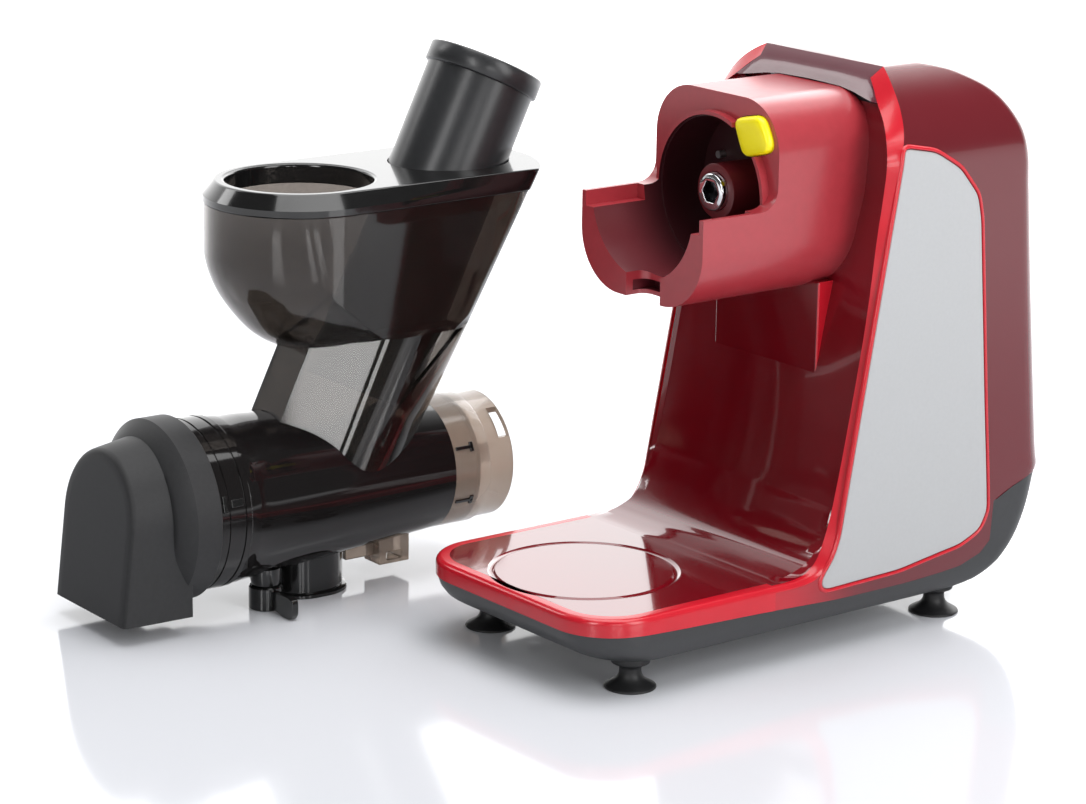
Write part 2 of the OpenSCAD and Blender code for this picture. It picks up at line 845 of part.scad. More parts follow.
bearing_r = out_shaft_r + 5;
bush_r = thin_shaft_r + 3;

module output_bearings() {
    color("#8e9094")
        on_unit() on_axis() {
            ring_y_axis(bearing_r, out_shaft_r + run_gap, plate_front_y, plate_front_y + plate_t);
            ring_y_axis(bearing_r, out_shaft_r + run_gap, plate_back_y, plate_back_y + plate_t);
        }
}

plate_hw = snout_hw - over;
plate_top = axis_z + snout_up - over;
plate_low = motor_z - stator_r;
spacer_r = 4.5;
spacer_x = plate_hw - 1.4 * spacer_r;
spacer_zs = [plate_top - 2 * spacer_r, plate_low + 2 * spacer_r];

module spacer_spots() {
    for (a = [-1, 1], z = spacer_zs)
        translate([a * spacer_x, 0, z])
            children();
}

module gearbox_plate(y0, hole_r) {
    difference() {
        translate([-plate_hw, y0, plate_low])
            cube([2 * plate_hw, plate_t, plate_top - plate_low]);
        on_axis() rod(bearing_r, y0 - over, y0 + plate_t + over);
        translate([0, 0, idler_z]) rod(bush_r, y0 - over, y0 + plate_t + over);
        translate([0, 0, motor_z]) rod(hole_r, y0 - over, y0 + plate_t + over);
        spacer_spots() rod(screw_r + run_gap, y0 - over, y0 + plate_t + over);
    }
}

module gearbox_front_plate() {
    color("#5b5e63")
        on_unit() {
            gearbox_plate(plate_front_y, bush_r);
            intersection() {
                for (a = [-1, 1], z = [plate_top - 5 * spacer_r, idler_z - 6 * spacer_r])
                    translate([a * spacer_x, 0, z])
                        rod(spacer_r, 0, plate_front_y + over / 2);
                behind_wall(wall_t);
            }
        }
}

module gearbox_rear_plate() {
    color("#5b5e63")
        on_unit()
            gearbox_plate(plate_back_y, bush_r);
}

module gearbox_spacers() {
    color("#b0b2b5")
        on_unit()
            spacer_spots()
                ring_y_axis(spacer_r, screw_r + run_gap, plate_front_y + plate_t, plate_back_y);
}

module gearbox_screws() {
    color("#7d7f83")
        on_unit()
            spacer_spots() {
                rod(screw_r, plate_front_y, plate_back_y + plate_t + over);
                rod(screw_head_r, plate_back_y + plate_t, plate_back_y + plate_t + screw_head_h);
            }
}

module idler_gear() {
    color("#d8d3bf")
        on_unit()
            translate([0, 0, idler_z]) {
                gear(mod_a, teeth_small, 90, thin_shaft_r, gear_a_y, gear_b_y);
                gear(mod_b, teeth_big, -90 + 180 / teeth_big, thin_shaft_r, gear_b_y, gear_b_y + gear_w);
            }
}

module idler_axle() {
    color("#a9abae")
        on_unit()
            translate([0, 0, idler_z])
                rod(thin_shaft_r, plate_front_y, plate_back_y + plate_t);
}

module idler_bushes() {
    color("#b5893c")
        on_unit()
            translate([0, 0, idler_z]) {
                ring_y_axis(bush_r, thin_shaft_r + run_gap, plate_front_y, plate_front_y + plate_t);
                ring_y_axis(bush_r, thin_shaft_r + run_gap, plate_back_y, plate_back_y + plate_t);
            }
}

// Motor

frame_t = 3;
frame_r = stator_r + frame_t;
motor_y = plate_back_y + plate_t;
coil_over = 7;
stator_y = motor_y + frame_t + coil_over;
frame_end_y = stator_y + stator_len + coil_over + gear_gap;
frame_arm_hw = 12;
fan_y = frame_end_y + frame_t + over;
fan_w = 6;
fan_blades = 8;
fan_hub_r = 9;
blade_t = 2;

module on_motor() {
    on_unit()
        translate([0, 0, motor_z])
            children();
}

module motor_stator() {
    color("#6f6f74")
        on_motor() {
            ring_y_axis(stator_r, stator_bore_r, stator_y, stator_y + stator_len);
            ring_y_axis(stator_r - coil_over / 2, stator_bore_r + coil_over / 2,
                stator_y - coil_over + over, stator_y + stator_len + coil_over - over);
        }
}

module motor_frame() {
    color("#8f9296")
        on_motor()
            difference() {
                union() {
                    rod(frame_r, motor_y, motor_y + frame_t);
                    rod(frame_r, frame_end_y, frame_end_y + frame_t);
                    for (side = [-1, 1])
                        translate([side > 0 ? stator_r / 2 : -frame_r, motor_y, -frame_arm_hw])
                            cube([frame_r - stator_r / 2, frame_end_y - motor_y + frame_t, 2 * frame_arm_hw]);
                }
                rod(stator_r, motor_y + frame_t, frame_end_y);
                rod(bush_r, motor_y - over, frame_end_y + 2 * frame_t);
                for (side = [-1, 1], up = [-1, 1])
                    translate([side * stator_r / 2, 0, up * stator_r / 2])
                        rod(stator_r / 5, motor_y - over, frame_end_y + 2 * frame_t);
            }
}

module rotor_bearings() {
    color("#9b9da1")
        on_motor() {
            ring_y_axis(bush_r, thin_shaft_r + run_gap, motor_y, motor_y + frame_t);
            ring_y_axis(bush_r, thin_shaft_r + run_gap, frame_end_y, frame_end_y + frame_t);
            ring_y_axis(bush_r, thin_shaft_r + run_gap, plate_front_y, plate_front_y + plate_t);
        }
}

module motor_rotor() {
    color("#8a7a5c")
        on_motor() {
            rod(thin_shaft_r, plate_front_y, fan_y + fan_w);
            rod(stator_bore_r - air_gap, stator_y, stator_y + stator_len);
            rod(2 * thin_shaft_r, stator_y + stator_len - over, frame_end_y - over);
        }
}

module motor_pinion() {
    color("#b5893c")
        on_motor()
            gear(mod_b, teeth_pinion, 90, thin_shaft_r, gear_b_y, gear_b_y + gear_w);
}

module motor_fan() {
    color("#2a2a2c")
        on_motor()
            difference() {
                union() {
                    rod(fan_hub_r, fan_y, fan_y + fan_w);
                    rod(fan_r, fan_y, fan_y + blade_t);
                    for (i = [0:fan_blades - 1])
                        rotate([0, 360 * i / fan_blades, 0])
                            translate([-blade_t / 2, fan_y, fan_hub_r / 2])
                                cube([blade_t, fan_w, fan_r - fan_hub_r]);
                }
                rod(thin_shaft_r, fan_y - over, fan_y + fan_w + over);
            }
}

// Electrics

cap_block_r = 9;
cap_block_h = 20;
bezel_body_w = bezel_w - 3;
bezel_body_l = bezel_l - 3;
bezel_flange_t = 1.5;
bezel_deep = 10;
rocker_deep = 7;
rocker_out = 2.5;
pivot_deep = 3;
rocker_swing_r = norm([rocker_l / 2, rocker_out + pivot_deep]);
pivot_r = 1.4;
pivot_l = rocker_w + 2 * bezel_flange_t;

module control_board() {
    color("#2f5d3a")
        on_unit()
            translate([0, board_y, board_z]) {
                translate([-board_w / 2, -board_l / 2, 0])
                    cube([board_w, board_l, board_t]);
                translate([-board_w / 4, 0, board_t / 2])
                    cylinder(r = cap_block_r, h = cap_block_h);
                translate([board_w / 8, -board_l / 4, board_t / 2])
                    cube([board_w / 4, board_l / 2, cap_block_h / 2]);
            }
}

module switch_bezel() {
    color("#202022")
        on_unit() on_back()
            difference() {
                union() {
                    translate([-bezel_w / 2, 0, -bezel_l / 2])
                        cube([bezel_w, bezel_flange_t, bezel_l]);
                    translate([-bezel_body_w / 2, -bezel_deep, -bezel_body_l / 2])
                        cube([bezel_body_w, bezel_deep + bezel_flange_t / 2, bezel_body_l]);
                }
                translate([-rocker_w / 2 - loose_gap, -bezel_deep + bezel_flange_t, -rocker_swing_r - loose_gap])
                    cube([rocker_w + 2 * loose_gap, 2 * bezel_deep, 2 * (rocker_swing_r + loose_gap)]);
                translate([0, -pivot_deep, 0])
                    rotate([0, 90, 0])
                        cylinder(r = pivot_r + run_gap, h = pivot_l + 2 * loose_gap, center = true);
            }
}

module switch_rocker() {
    color("#151516")
        on_unit() on_back()
            translate([0, -pivot_deep, 0]) {
                rotate([90, 0, 90])
                    linear_extrude(rocker_w, center = true)
                        polygon([[-rocker_deep + pivot_deep, -rocker_l / 3], [-rocker_deep + pivot_deep, rocker_l / 3],
                            [rocker_out + pivot_deep, rocker_l / 2], [pivot_deep, 0], [rocker_out + pivot_deep, -rocker_l / 2]]);
                rotate([0, 90, 0])
                    cylinder(r = pivot_r, h = pivot_l, center = true);
            }
}

module cord_gland() {
    color("#1a1a1b")
        on_unit()
            translate([0, 0, gland_z])
                difference() {
                    rod(gland_r, rear_y - 3 * gland_r, rear_y - over);
                    rod(gland_bore_r, rear_y - 4 * gland_r, rear_y + over);
                }
}

// Head: X across, Y from the hood's face to the mounting end, Z up from the drum's axis

cone_start = flange_s + flange_len + 2 * wall_t;
cone_end = drum_end_s - mount_len - 8 * wall_t;
spigot_len = 12;
spigot_r = drum_front_r - 1.5;
bulkhead_s = cone_end + 6 * drum_t;
seal_r = auger_shaft_r + 4;
mount_start = drum_end_s - mount_len;

drum_outer = [[0, flange_s - spigot_len], [spigot_r, flange_s - spigot_len], [spigot_r, flange_s],
    [flange_r, flange_s], [flange_r, flange_s + flange_len], [drum_front_r, flange_s + flange_len],
    [drum_front_r, cone_start], [drum_back_r, cone_end], [drum_back_r, mount_start],
    [mount_r, mount_start], [mount_r, drum_end_s], [0, drum_end_s]];
drum_inner = [[0, flange_s - spigot_len - over], [spigot_r - drum_t, flange_s - spigot_len - over],
    [spigot_r - drum_t, cone_start], [drum_back_r - drum_t, cone_end], [drum_back_r - drum_t, bulkhead_s],
    [0, bulkhead_s]];
drum_socket = [[0, bulkhead_s + drum_t], [mount_r - drum_t, bulkhead_s + drum_t],
    [mount_r - drum_t, drum_end_s + over], [0, drum_end_s + over]];

chute_tan_a = atan2(chute_front, chute_flat_hw) - acos(chute_r / norm([chute_flat_hw, chute_front]));
chute_section = concat([[chute_flat_hw, chute_front], [-chute_flat_hw, chute_front]],
    arc(0, 0, chute_r, 180 - chute_tan_a, 360 + chute_tan_a, 20));

// Along the chute: section x is across, section y faces the hood, height follows the axis
module along_chute(t0, t1) {
    translate([0, chute_s, 0])
        rotate([-chute_lean, 0, 0])
            translate([0, 0, t0])
                linear_extrude(t1 - t0)
                    children();
}

module chute_fill(d, t0, t1) {
    along_chute(t0, t1) mirror([0, 1]) polygon(inset(chute_section, d));
}

module stadium(l, w, h) {
    for (k = [-1, 1])
        translate([0, k * (l - w) / 2, 0])
            cylinder(r = w / 2, h = h);
    translate([-w / 2, -(l - w) / 2, 0])
        cube([w, l - w, h]);
}

module spout_bore() {
    translate([0, spout_s, -drum_h - over])
        stadium(spout_l - 2 * spout_t, spout_w - 2 * spout_t, drum_h + over - flight_r);
}

mouth_share = 0.6;
slot_l = 7.5;
slot_h = 19;
slot_z = 18;

module drum() {
    color("#2b2624")
        on_head()
            difference() {
                turned(drum_outer);
                turned(drum_inner);
                turned(drum_socket);
                rod(seal_r, bulkhead_s - over, drum_end_s);
                chute_fill(hopper_t, mouth_share * drum_back_r, 2 * drum_front_r);
                spout_bore();
                translate([0, drum_end_s - slot_l - over, slot_z])
                    cube([2 * mount_r, slot_l, slot_h - over]);
            }
}

module juice_spout() {
    color("#191817")
        on_head()
            difference() {
                translate([0, spout_s, -drum_h]) {
                    stadium(spout_l, spout_w, drum_h - drum_back_r / 2);
                    stadium(spout_l + 2 * spout_t, spout_w + 2 * spout_t, spout_t);
                }
                spout_bore();
                turned(drum_outer);
            }
}

lug_s = 206;
lug_low = 58;
lug_slot_h = 5;
rib_s = 173;
rib_w = 4;
rib_hw = 12;
rib_low = 59;

module locking_lug() {
    color("#6f6757")
        on_head()
            difference() {
                union() {
                    translate([-lug_w / 2, lug_s - lug_l / 2, -lug_low])
                        cube([lug_w, lug_l, lug_low - drum_back_r / 2]);
                    translate([-rib_w / 2, rib_s + rib_w / 2, -lug_low + lug_slot_h])
                        cube([rib_w, lug_s - rib_s, lug_low / 2]);
                }
                translate([-lug_w, lug_s - lug_l / 4, -lug_low + lug_slot_h / 2])
                    cube([2 * lug_w, lug_l / 2, lug_slot_h]);
                turned(drum_outer);
            }
}

valve_s = 107;
valve_x = 20;
valve_r = 10;
valve_pin_r = 5;
lever_l = 33;
lever_t = 5;
lever_w = 9;
valve_h = 15;

module valve_boss() {
    color("#1c1b1a")
        on_head()
            difference() {
                translate([valve_x, valve_s, -drum_h + valve_h / 2])
                    cylinder(r = valve_pin_r, h = drum_h / 2);
                turned(drum_outer);
            }
}

module valve_lever() {
    color("#161616")
        on_head()
            translate([valve_x, valve_s, -drum_h])
                difference() {
                    union() {
                        cylinder(r = valve_r, h = valve_h - loose_gap);
                        translate([0, -lever_w / 2, 0])
                            cube([lever_l - lever_w / 2, lever_w, lever_t]);
                        translate([lever_l - lever_w / 2, 0, 0])
                            cylinder(r = lever_w / 2, h = 2 * lever_t);
                    }
                    translate([0, 0, valve_h / 2 - loose_gap])
                        cylinder(r = valve_pin_r + run_gap, h = valve_h);
                }
}

module shaft_seal() {
    color("#c9c4bb")
        on_head()
            ring_y_axis(seal_r, auger_shaft_r + run_gap, bulkhead_s, bulkhead_s + drum_t);
}

hood_arch = concat([[-hood_hw, -hood_down], [hood_hw, -hood_down]],
    [for (i = [0:16]) let (a = 180 * i / 16) [hood_hw * cos(a), hood_up * sin(a)]]);
cap_disc_t = 3;
nose_r_pin = 6;
pulp_hole_r = 8;
pulp_holes = 6;
cap_bore_r = spigot_r + loose_gap;

module end_cap() {
    color("#1d1d1e")
        on_head()
            difference() {
                union() {
                    along_y(0, hood_len) polygon(hood_arch);
                    turned([[0, hood_len - over], [hood_hw, hood_len - over], [cap_r, hood_len + cap_disc_t],
                        [cap_r, hood_len + cap_len], [0, hood_len + cap_len]]);
                }
                along_y(hood_t, hood_len)
                    polygon(concat([[-hood_hw + hood_t, -hood_down - over], [hood_hw - hood_t, -hood_down - over]],
                        [for (i = [0:16]) let (a = 180 * i / 16)
                            [(hood_hw - hood_t) * cos(a), (hood_up - hood_t) * sin(a)]]));
                rod(cap_bore_r, hood_len + cap_disc_t, hood_len + cap_len + over);
                rod(nose_r_pin + run_gap, hood_len - over, hood_len + cap_len);
                for (i = [0:pulp_holes - 1])
                    rotate([0, 360 * (i + 0.5) / pulp_holes, 0])
                        translate([core_front_r, 0, 0])
                            rod(pulp_hole_r, hood_len - over, hood_len + cap_disc_t + over);
            }
}

module cap_seal() {
    color("#b9b4aa")
        on_head()
            ring_y_axis(spigot_r - drum_t / 2, spigot_r - 1.6 * drum_t,
                hood_len + cap_disc_t + loose_gap, flange_s - spigot_len);
}

screen_len = 62;
screen_front_r = spigot_r - drum_t - loose_gap;
screen_back_r = screen_front_r - 4 * screen_t;
screen_s = flange_s - spigot_len + drum_t;
screen_slot_w = 2;

module juice_screen() {
    color("#b8b6b0")
        on_head()
            difference() {
                turned([[0, screen_s], [screen_front_r, screen_s], [screen_front_r, screen_s + 3 * screen_t],
                    [screen_front_r - screen_t, screen_s + 3 * screen_t],
                    [screen_back_r, screen_s + screen_len], [0, screen_s + screen_len]]);
                turned([[0, screen_s - over], [screen_front_r - 2 * screen_t, screen_s - over],
                    [screen_front_r - 2 * screen_t, screen_s + 3 * screen_t],
                    [screen_back_r - screen_t, screen_s + screen_len + over], [0, screen_s + screen_len + over]]);
                for (i = [0:screen_slots - 1])
                    rotate([0, 360 * i / screen_slots, 0])
                        translate([-screen_slot_w / 2, screen_s + 6 * screen_t, screen_back_r / 2])
                            cube([screen_slot_w, screen_len - 12 * screen_t, screen_front_r]);
            }
}

auger_front = hood_len + cap_disc_t + 2 * loose_gap;
auger_back = bulkhead_s - 2 * loose_gap;
flight_s = screen_s + loose_gap;
flight_len = auger_back - flight_s;
flight_pitch_a = 30;
nose_len = 4;
shaft_in = 24;
hex_tail = 16;
hex_tail_gap = 0.3;

module flight_section() {
    polygon(concat(arc(0, 0, core_back_r / 2, -flight_pitch_a / 2, flight_pitch_a / 2, 2),
        arc(0, 0, flight_r, flight_pitch_a / 2, -flight_pitch_a / 2, 4)));
}

module auger() {
    color("#201f1e")
        on_head()
            difference() {
                union() {
                    turned([[0, hood_len - nose_len], [nose_r_pin, hood_len - nose_len], [nose_r_pin, auger_front],
                        [core_front_r - pulp_hole_r, auger_front], [core_front_r, flight_s + pulp_hole_r],
                        [core_back_r, auger_back], [0, auger_back]]);
                    translate([0, flight_s, 0])
                        rotate([-90, 0, 0])
                            linear_extrude(flight_len, twist = 360 * flight_turns,
                                slices = 20 * flight_turns, $fn = 13)
                                flight_section();
                }
                rod(auger_shaft_r, auger_back - shaft_in, auger_back + over);
            }
}

module auger_shaft() {
    color("#b4b6b9")
        on_head() {
            rod(auger_shaft_r, auger_back - shaft_in, bulkhead_s + drum_t + over);
            hex_hole(hex_af - 2 * hex_tail_gap, bulkhead_s, drum_end_s - over);
        }
}

// Hopper: the plan is a circle round the cup's centre with sides running on past the back corners,
// which a rounded back that leans a little more than the chute cuts off

hopper_plan = concat(arc(0, cup_s, bowl_r, 180, 360, 24),
    [[2 * back_hw - bowl_r, 2 * back_s - cup_s], [bowl_r - 2 * back_hw, 2 * back_s - cup_s]]);

lean_more = 4;
rear_lean = chute_lean + lean_more;
rear_r = (back_hw * back_hw + back_bulge * back_bulge) / 2 / back_bulge;
rear_turn = asin((bowl_r + cup_r / 2) / rear_r);
rear_arc = arc(0, back_bulge - rear_r, rear_r, 90 - rear_turn, 90 + rear_turn, 14);
rear_plan = concat([for (p = rear_arc) [p[0], p[1] * cos(rear_lean)]],
    [[-bowl_r - cup_r, -5 * bowl_r], [bowl_r + cup_r, -5 * bowl_r]]);

module rear_fill(d) {
    translate([0, back_s, hopper_rim_z])
        rotate([-rear_lean, 0, 0])
            translate([0, 0, -5 * bowl_r])
                linear_extrude(6 * bowl_r) polygon(inset(rear_plan, d));
}

cup_shares = [[-1, -0.19], [-0.95, -0.29], [-0.82, -0.405], [-0.55, -0.54], [-0.25, -0.612],
    [0.05, -0.627], [0.95, -0.55]];
cup_front = smooth([for (p = cup_shares) [cup_s + p[0] * (bowl_r + over / 2), hopper_rim_z + p[1] * 2.5 * bowl_r]], 3);

// Side outline of the cup
bowl_side = concat(cup_front, [[cup_s + 4 * bowl_r, cup_front[len(cup_front) - 1][1]],
    [cup_s + 4 * bowl_r, hopper_rim_z + over], [cup_s - bowl_r - over, hopper_rim_z + over]]);
bowl_turns = [-54, -27, 0, 27, 54];

module cup_fill(d) {
    intersection() {
        linear_extrude(hopper_rim_z) polygon(inset(hopper_plan, d));
        rear_fill(d);
        intersection_for(a = bowl_turns)
            translate([0, cup_s, 0])
                rotate([0, 0, a])
                    translate([0, -cup_s, 0])
                        along_x(8 * bowl_r) polygon(inset(bowl_side, d));
    }
}

chute_top = hopper_rim_z / cos(chute_lean) + chute_r * tan(chute_lean);

module hopper() {
    color("#4a423c")
        on_head()
            difference() {
                union() {
                    cup_fill(0);
                    intersection() {
                        chute_fill(0, 0, chute_top);
                        linear_extrude(hopper_rim_z) square(2 * far, center = true);
                    }
                }
                translate([0, 0, over / 2]) cup_fill(hopper_t);
                intersection() {
                    translate([0, 0, hopper_rim_z - hopper_t])
                        linear_extrude(2 * hopper_t) polygon(inset(hopper_plan, hopper_t));
                    rear_fill(hopper_t);
                }
                chute_fill(hopper_t, -over, chute_top + far / 4);
                turned(drum_outer);
            }
}

// The lid's edge slopes in round the cup, and the slope runs out towards the back corners
lid_band = lid_h / 3;
lid_slope_a = atan2(lid_in, lid_h - lid_band);
lid_turn = atan2(back_hw - bowl_r + lid_in, back_s - cup_s);

module lid_slope(d) {
    r = bowl_r + lid_over - d / cos(lid_slope_a);
    band_z = hopper_rim_z + lid_band;
    top = hopper_rim_z + lid_h;
    linear_extrude(band_z + over / 2) square(8 * bowl_r + 2 * cup_s, center = true);
    translate([0, cup_s, band_z])
        cylinder(r1 = r, r2 = r - lid_in, h = lid_h - lid_band);
    intersection_for(k = [-1, 1])
        translate([0, cup_s, 0])
            rotate([0, 0, -k * lid_turn])
                along_y(0, 4 * bowl_r)
                    polygon([[k * r, 0], [k * r, band_z], [k * (r - lid_in), top],
                        [-4 * k * bowl_r, top], [-4 * k * bowl_r, 0]]);
}

module lid_fill(d, z0, z1) {
    intersection() {
        translate([0, 0, z0])
            linear_extrude(z1 - z0) polygon(inset(hopper_plan, d - lid_over));
        rear_fill(d - lid_over);
        lid_slope(d);
    }
}

module hopper_lid() {
    lid_low = hopper_rim_z - loose_gap;
    lid_top = hopper_rim_z + lid_h;
    color("#141414")
        on_head()
            difference() {
                union() {
                    lid_fill(0, hopper_rim_z + loose_gap / 2, lid_top);
                    translate([0, cup_s, lid_top - skirt_deep - lid_t])
                        cylinder(r = feed_r + lid_t, h = skirt_deep);
                }
                difference() {
                    lid_fill(lid_t, lid_low, lid_top - lid_t);
                    translate([0, cup_s, 0]) cylinder(r = feed_r + lid_t, h = lid_top);
                }
                translate([0, cup_s, 0]) cylinder(r = feed_r, h = lid_top + over);
                along_chute(pusher_top_l - pusher_len, pusher_top_l) circle(r = pusher_r + loose_gap);
            }
}

module pusher_body() {
    color("#2c2d2f")
        on_head()
            difference() {
                along_chute(pusher_top_l - pusher_len, pusher_top_l - pusher_cap_h) circle(r = pusher_r);
                along_chute(pusher_top_l - pusher_len + pusher_t, pusher_top_l) circle(r = pusher_r - pusher_t);
            }
}

module pusher_cap() {
    color("#26272a")
        on_head()
            difference() {
                along_chute(pusher_top_l - pusher_cap_h, pusher_top_l) circle(r = pusher_cap_r);
                along_chute(pusher_top_l - pusher_cap_h / 2, pusher_top_l + over) circle(r = pusher_cap_r - pusher_t);
            }
}

front_housing();
rear_housing();
side_panel_right();
side_panel_left();
base_tray();
feet();
tray_screws();
snout();
snout_bracket();
hub_collar();
release_button();
interlock_pin();
drive_coupler();
output_shaft();
output_gear();
output_bearings();
gearbox_front_plate();
gearbox_rear_plate();
gearbox_spacers();
gearbox_screws();
idler_gear();
idler_axle();
idler_bushes();
motor_stator();
motor_frame();
motor_rotor();
motor_pinion();
motor_fan();
rotor_bearings();
control_board();
switch_bezel();
switch_rocker();
cord_gland();
drum();
juice_spout();
locking_lug();
valve_boss();
valve_lever();
shaft_seal();
end_cap();
cap_seal();
juice_screen();
auger();
auger_shaft();
hopper();
hopper_lid();
pusher_body();
pusher_cap();
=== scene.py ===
import bpy, bmesh, math
from mathutils import Vector, Matrix
from mathutils.geometry import tessellate_polygon


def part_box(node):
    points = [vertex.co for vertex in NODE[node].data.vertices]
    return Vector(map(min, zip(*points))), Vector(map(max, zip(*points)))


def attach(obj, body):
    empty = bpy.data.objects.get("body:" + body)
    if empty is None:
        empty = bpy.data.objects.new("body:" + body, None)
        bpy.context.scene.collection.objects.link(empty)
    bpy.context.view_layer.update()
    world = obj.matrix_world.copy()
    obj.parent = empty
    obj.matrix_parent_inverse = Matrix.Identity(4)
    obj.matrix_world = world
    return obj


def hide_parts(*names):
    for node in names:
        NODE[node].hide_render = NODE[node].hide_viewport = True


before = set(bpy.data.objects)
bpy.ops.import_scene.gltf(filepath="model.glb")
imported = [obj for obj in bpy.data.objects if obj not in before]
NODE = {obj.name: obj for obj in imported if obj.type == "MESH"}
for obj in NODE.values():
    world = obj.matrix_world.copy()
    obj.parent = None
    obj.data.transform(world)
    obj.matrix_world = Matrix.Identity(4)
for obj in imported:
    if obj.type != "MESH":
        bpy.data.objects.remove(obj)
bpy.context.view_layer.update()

# Frames: pieces are drawn in millimetres of the motor unit or of the head, and built in the frame's metres
MM = 0.001
COUPLER_NOSE = 12.0
coupler_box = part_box("drive_coupler")
UNIT_X = (coupler_box[0][0] + coupler_box[1][0]) / 2 / MM
UNIT_Y = coupler_box[0][1] / MM + COUPLER_NOSE
SNOUT_Z = 256.5
HEAD_AT = (-191.2, -310.3, 65.1)
HEAD_TURN = math.radians(-1.54)
CHUTE_AT = 159.2
CHUTE_LEAN = math.radians(26)


def unit(p):
    """Place on the motor unit to the frame; its origin is on the floor, just behind the coupler's nose."""
    return Vector(((p[0] + UNIT_X) * MM, (p[1] + UNIT_Y) * MM, p[2] * MM))


def snout(p):
    """Place on the snout, with its height taken from the drive's axis, to the frame."""
    return unit((p[0], p[1], p[2] + SNOUT_Z))


def head(p):
    """Place on the head (across, along the drum from the hood, up from the drum's axis) to the frame."""
    c, s = math.cos(HEAD_TURN), math.sin(HEAD_TURN)
    return unit((HEAD_AT[0] + p[0] * c - p[1] * s, HEAD_AT[1] + p[0] * s + p[1] * c, p[2] + HEAD_AT[2]))


def along(p):
    """Place on the chute (across, towards the hood, up its axis) as a place on the head."""
    c, s = math.cos(CHUTE_LEAN), math.sin(CHUTE_LEAN)
    return (p[0], CHUTE_AT - p[1] * c + p[2] * s, p[1] * s + p[2] * c)


def chute(p):
    """Place on the chute to the frame."""
    return head(along(p))


def turned(degrees):
    """Placing of a piece on the head turned about the drum's axis."""
    c, s = math.cos(math.radians(degrees)), math.sin(math.radians(degrees))
    return lambda p: head((p[0] * c - p[2] * s, p[1], p[0] * s + p[2] * c))


def mirror(p):
    return (-p[0], p[1], p[2])


# Lines
TINY = 1e-9


def lerp(a, b, t):
    return a + (b - a) * t


def interp(x, line):
    """Height at x of a broken line of (place, height), level past its ends."""
    if x <= line[0][0]:
        return line[0][1]
    if x >= line[-1][0]:
        return line[-1][1]
    for (x0, y0), (x1, y1) in zip(line, line[1:]):
        if x <= x1:
            return lerp(y0, y1, (x - x0) / max(TINY, x1 - x0))


def catmull(a, b, c, d, t):
    """Value at t between b and c on a smooth curve through four values."""
    bend, twist = 2 * a - 5 * b + 4 * c - d, 3 * b - a - 3 * c + d
    return 0.5 * (2 * b + (c - a) * t + bend * t * t + twist * t ** 3)


def spline(points, steps):
    """Smooth curve through the points, with so many steps from each to the next."""
    out = []
    last = len(points) - 1
    for i in range(last):
        near = [points[max(i - 1, 0)], points[i], points[i + 1], points[min(i + 2, last)]]
        for j in range(steps):
            out.append(tuple(catmull(*values, j / steps) for values in zip(*near)))
    out.append(tuple(points[-1]))
    return out


def resample(points, n, closed=False):
    """Spreads n points evenly along a broken line."""
    line = [Vector(p) for p in points]
    if closed:
        line.append(line[0])
    run = [0.0]
    for a, b in zip(line, line[1:]):
        run.append(run[-1] + (b - a).length)
    out, j = [], 0
    for i in range(n):
        s = run[-1] * i / (n if closed else n - 1)
        while j < len(run) - 2 and run[j + 1] < s:
            j += 1
        t = (s - run[j]) / max(TINY, run[j + 1] - run[j])
        out.append(line[j].lerp(line[j + 1], min(1, max(0, t))))
    return out


def rounded(points, n, r):
    """Closed line of n points, run anticlockwise, through clockwise ones, with corners of about r."""
    fine = resample(points, n, True)
    step = sum((fine[i] - fine[i - 1]).length for i in range(n)) / n
    k = max(1, int(r / step))
    for _ in range(2):
        fine = [sum((fine[(i + j) % n] for j in range(-k, k + 1)), Vector((0, 0))) / (2 * k + 1)
                for i in range(n)]
    return [tuple(p) for p in reversed(fine)]


def arc(cx, cy, r, start, end, steps):
    """Round stretch about (cx, cy) between two angles in degrees."""
    angles = [math.radians(start + (end - start) * i / steps) for i in range(steps + 1)]
    return [(cx + r * math.cos(a), cy + r * math.sin(a)) for a in angles]


def offset(points, d, closed=True):
    """Moves a line to its left by d, which is inwards where it is closed and runs anticlockwise."""
    sharpest = 0.35
    out, n = [], len(points)
    for i in range(n):
        before, after = (i - 1, (i + 1) % n) if closed else (max(i - 1, 0), min(i + 1, n - 1))
        here = Vector(points[i])
        u, v = here - Vector(points[before]), Vector(points[after]) - here
        if u.length < TINY:
            u = v
        if v.length < TINY:
            v = u
        u = u.normalized()
        v = v.normalized()
        left_u, left_v = Vector((-u.y, u.x)), Vector((-v.y, v.x))
        out.append(tuple(here + (left_u + left_v) * (d / max(sharpest, 1 + left_u.dot(left_v)))))
    return out


# Meshes
NEAR_AXIS = 0.001
MERGE = 0.01 * MM
CLEAN = 1e-6
PLACED = {"x": lambda p, h: (h, p[0], p[1]),
          "y": lambda p, h: (p[0], h, p[1]),
          "z": lambda p, h: (p[0], p[1], h)}


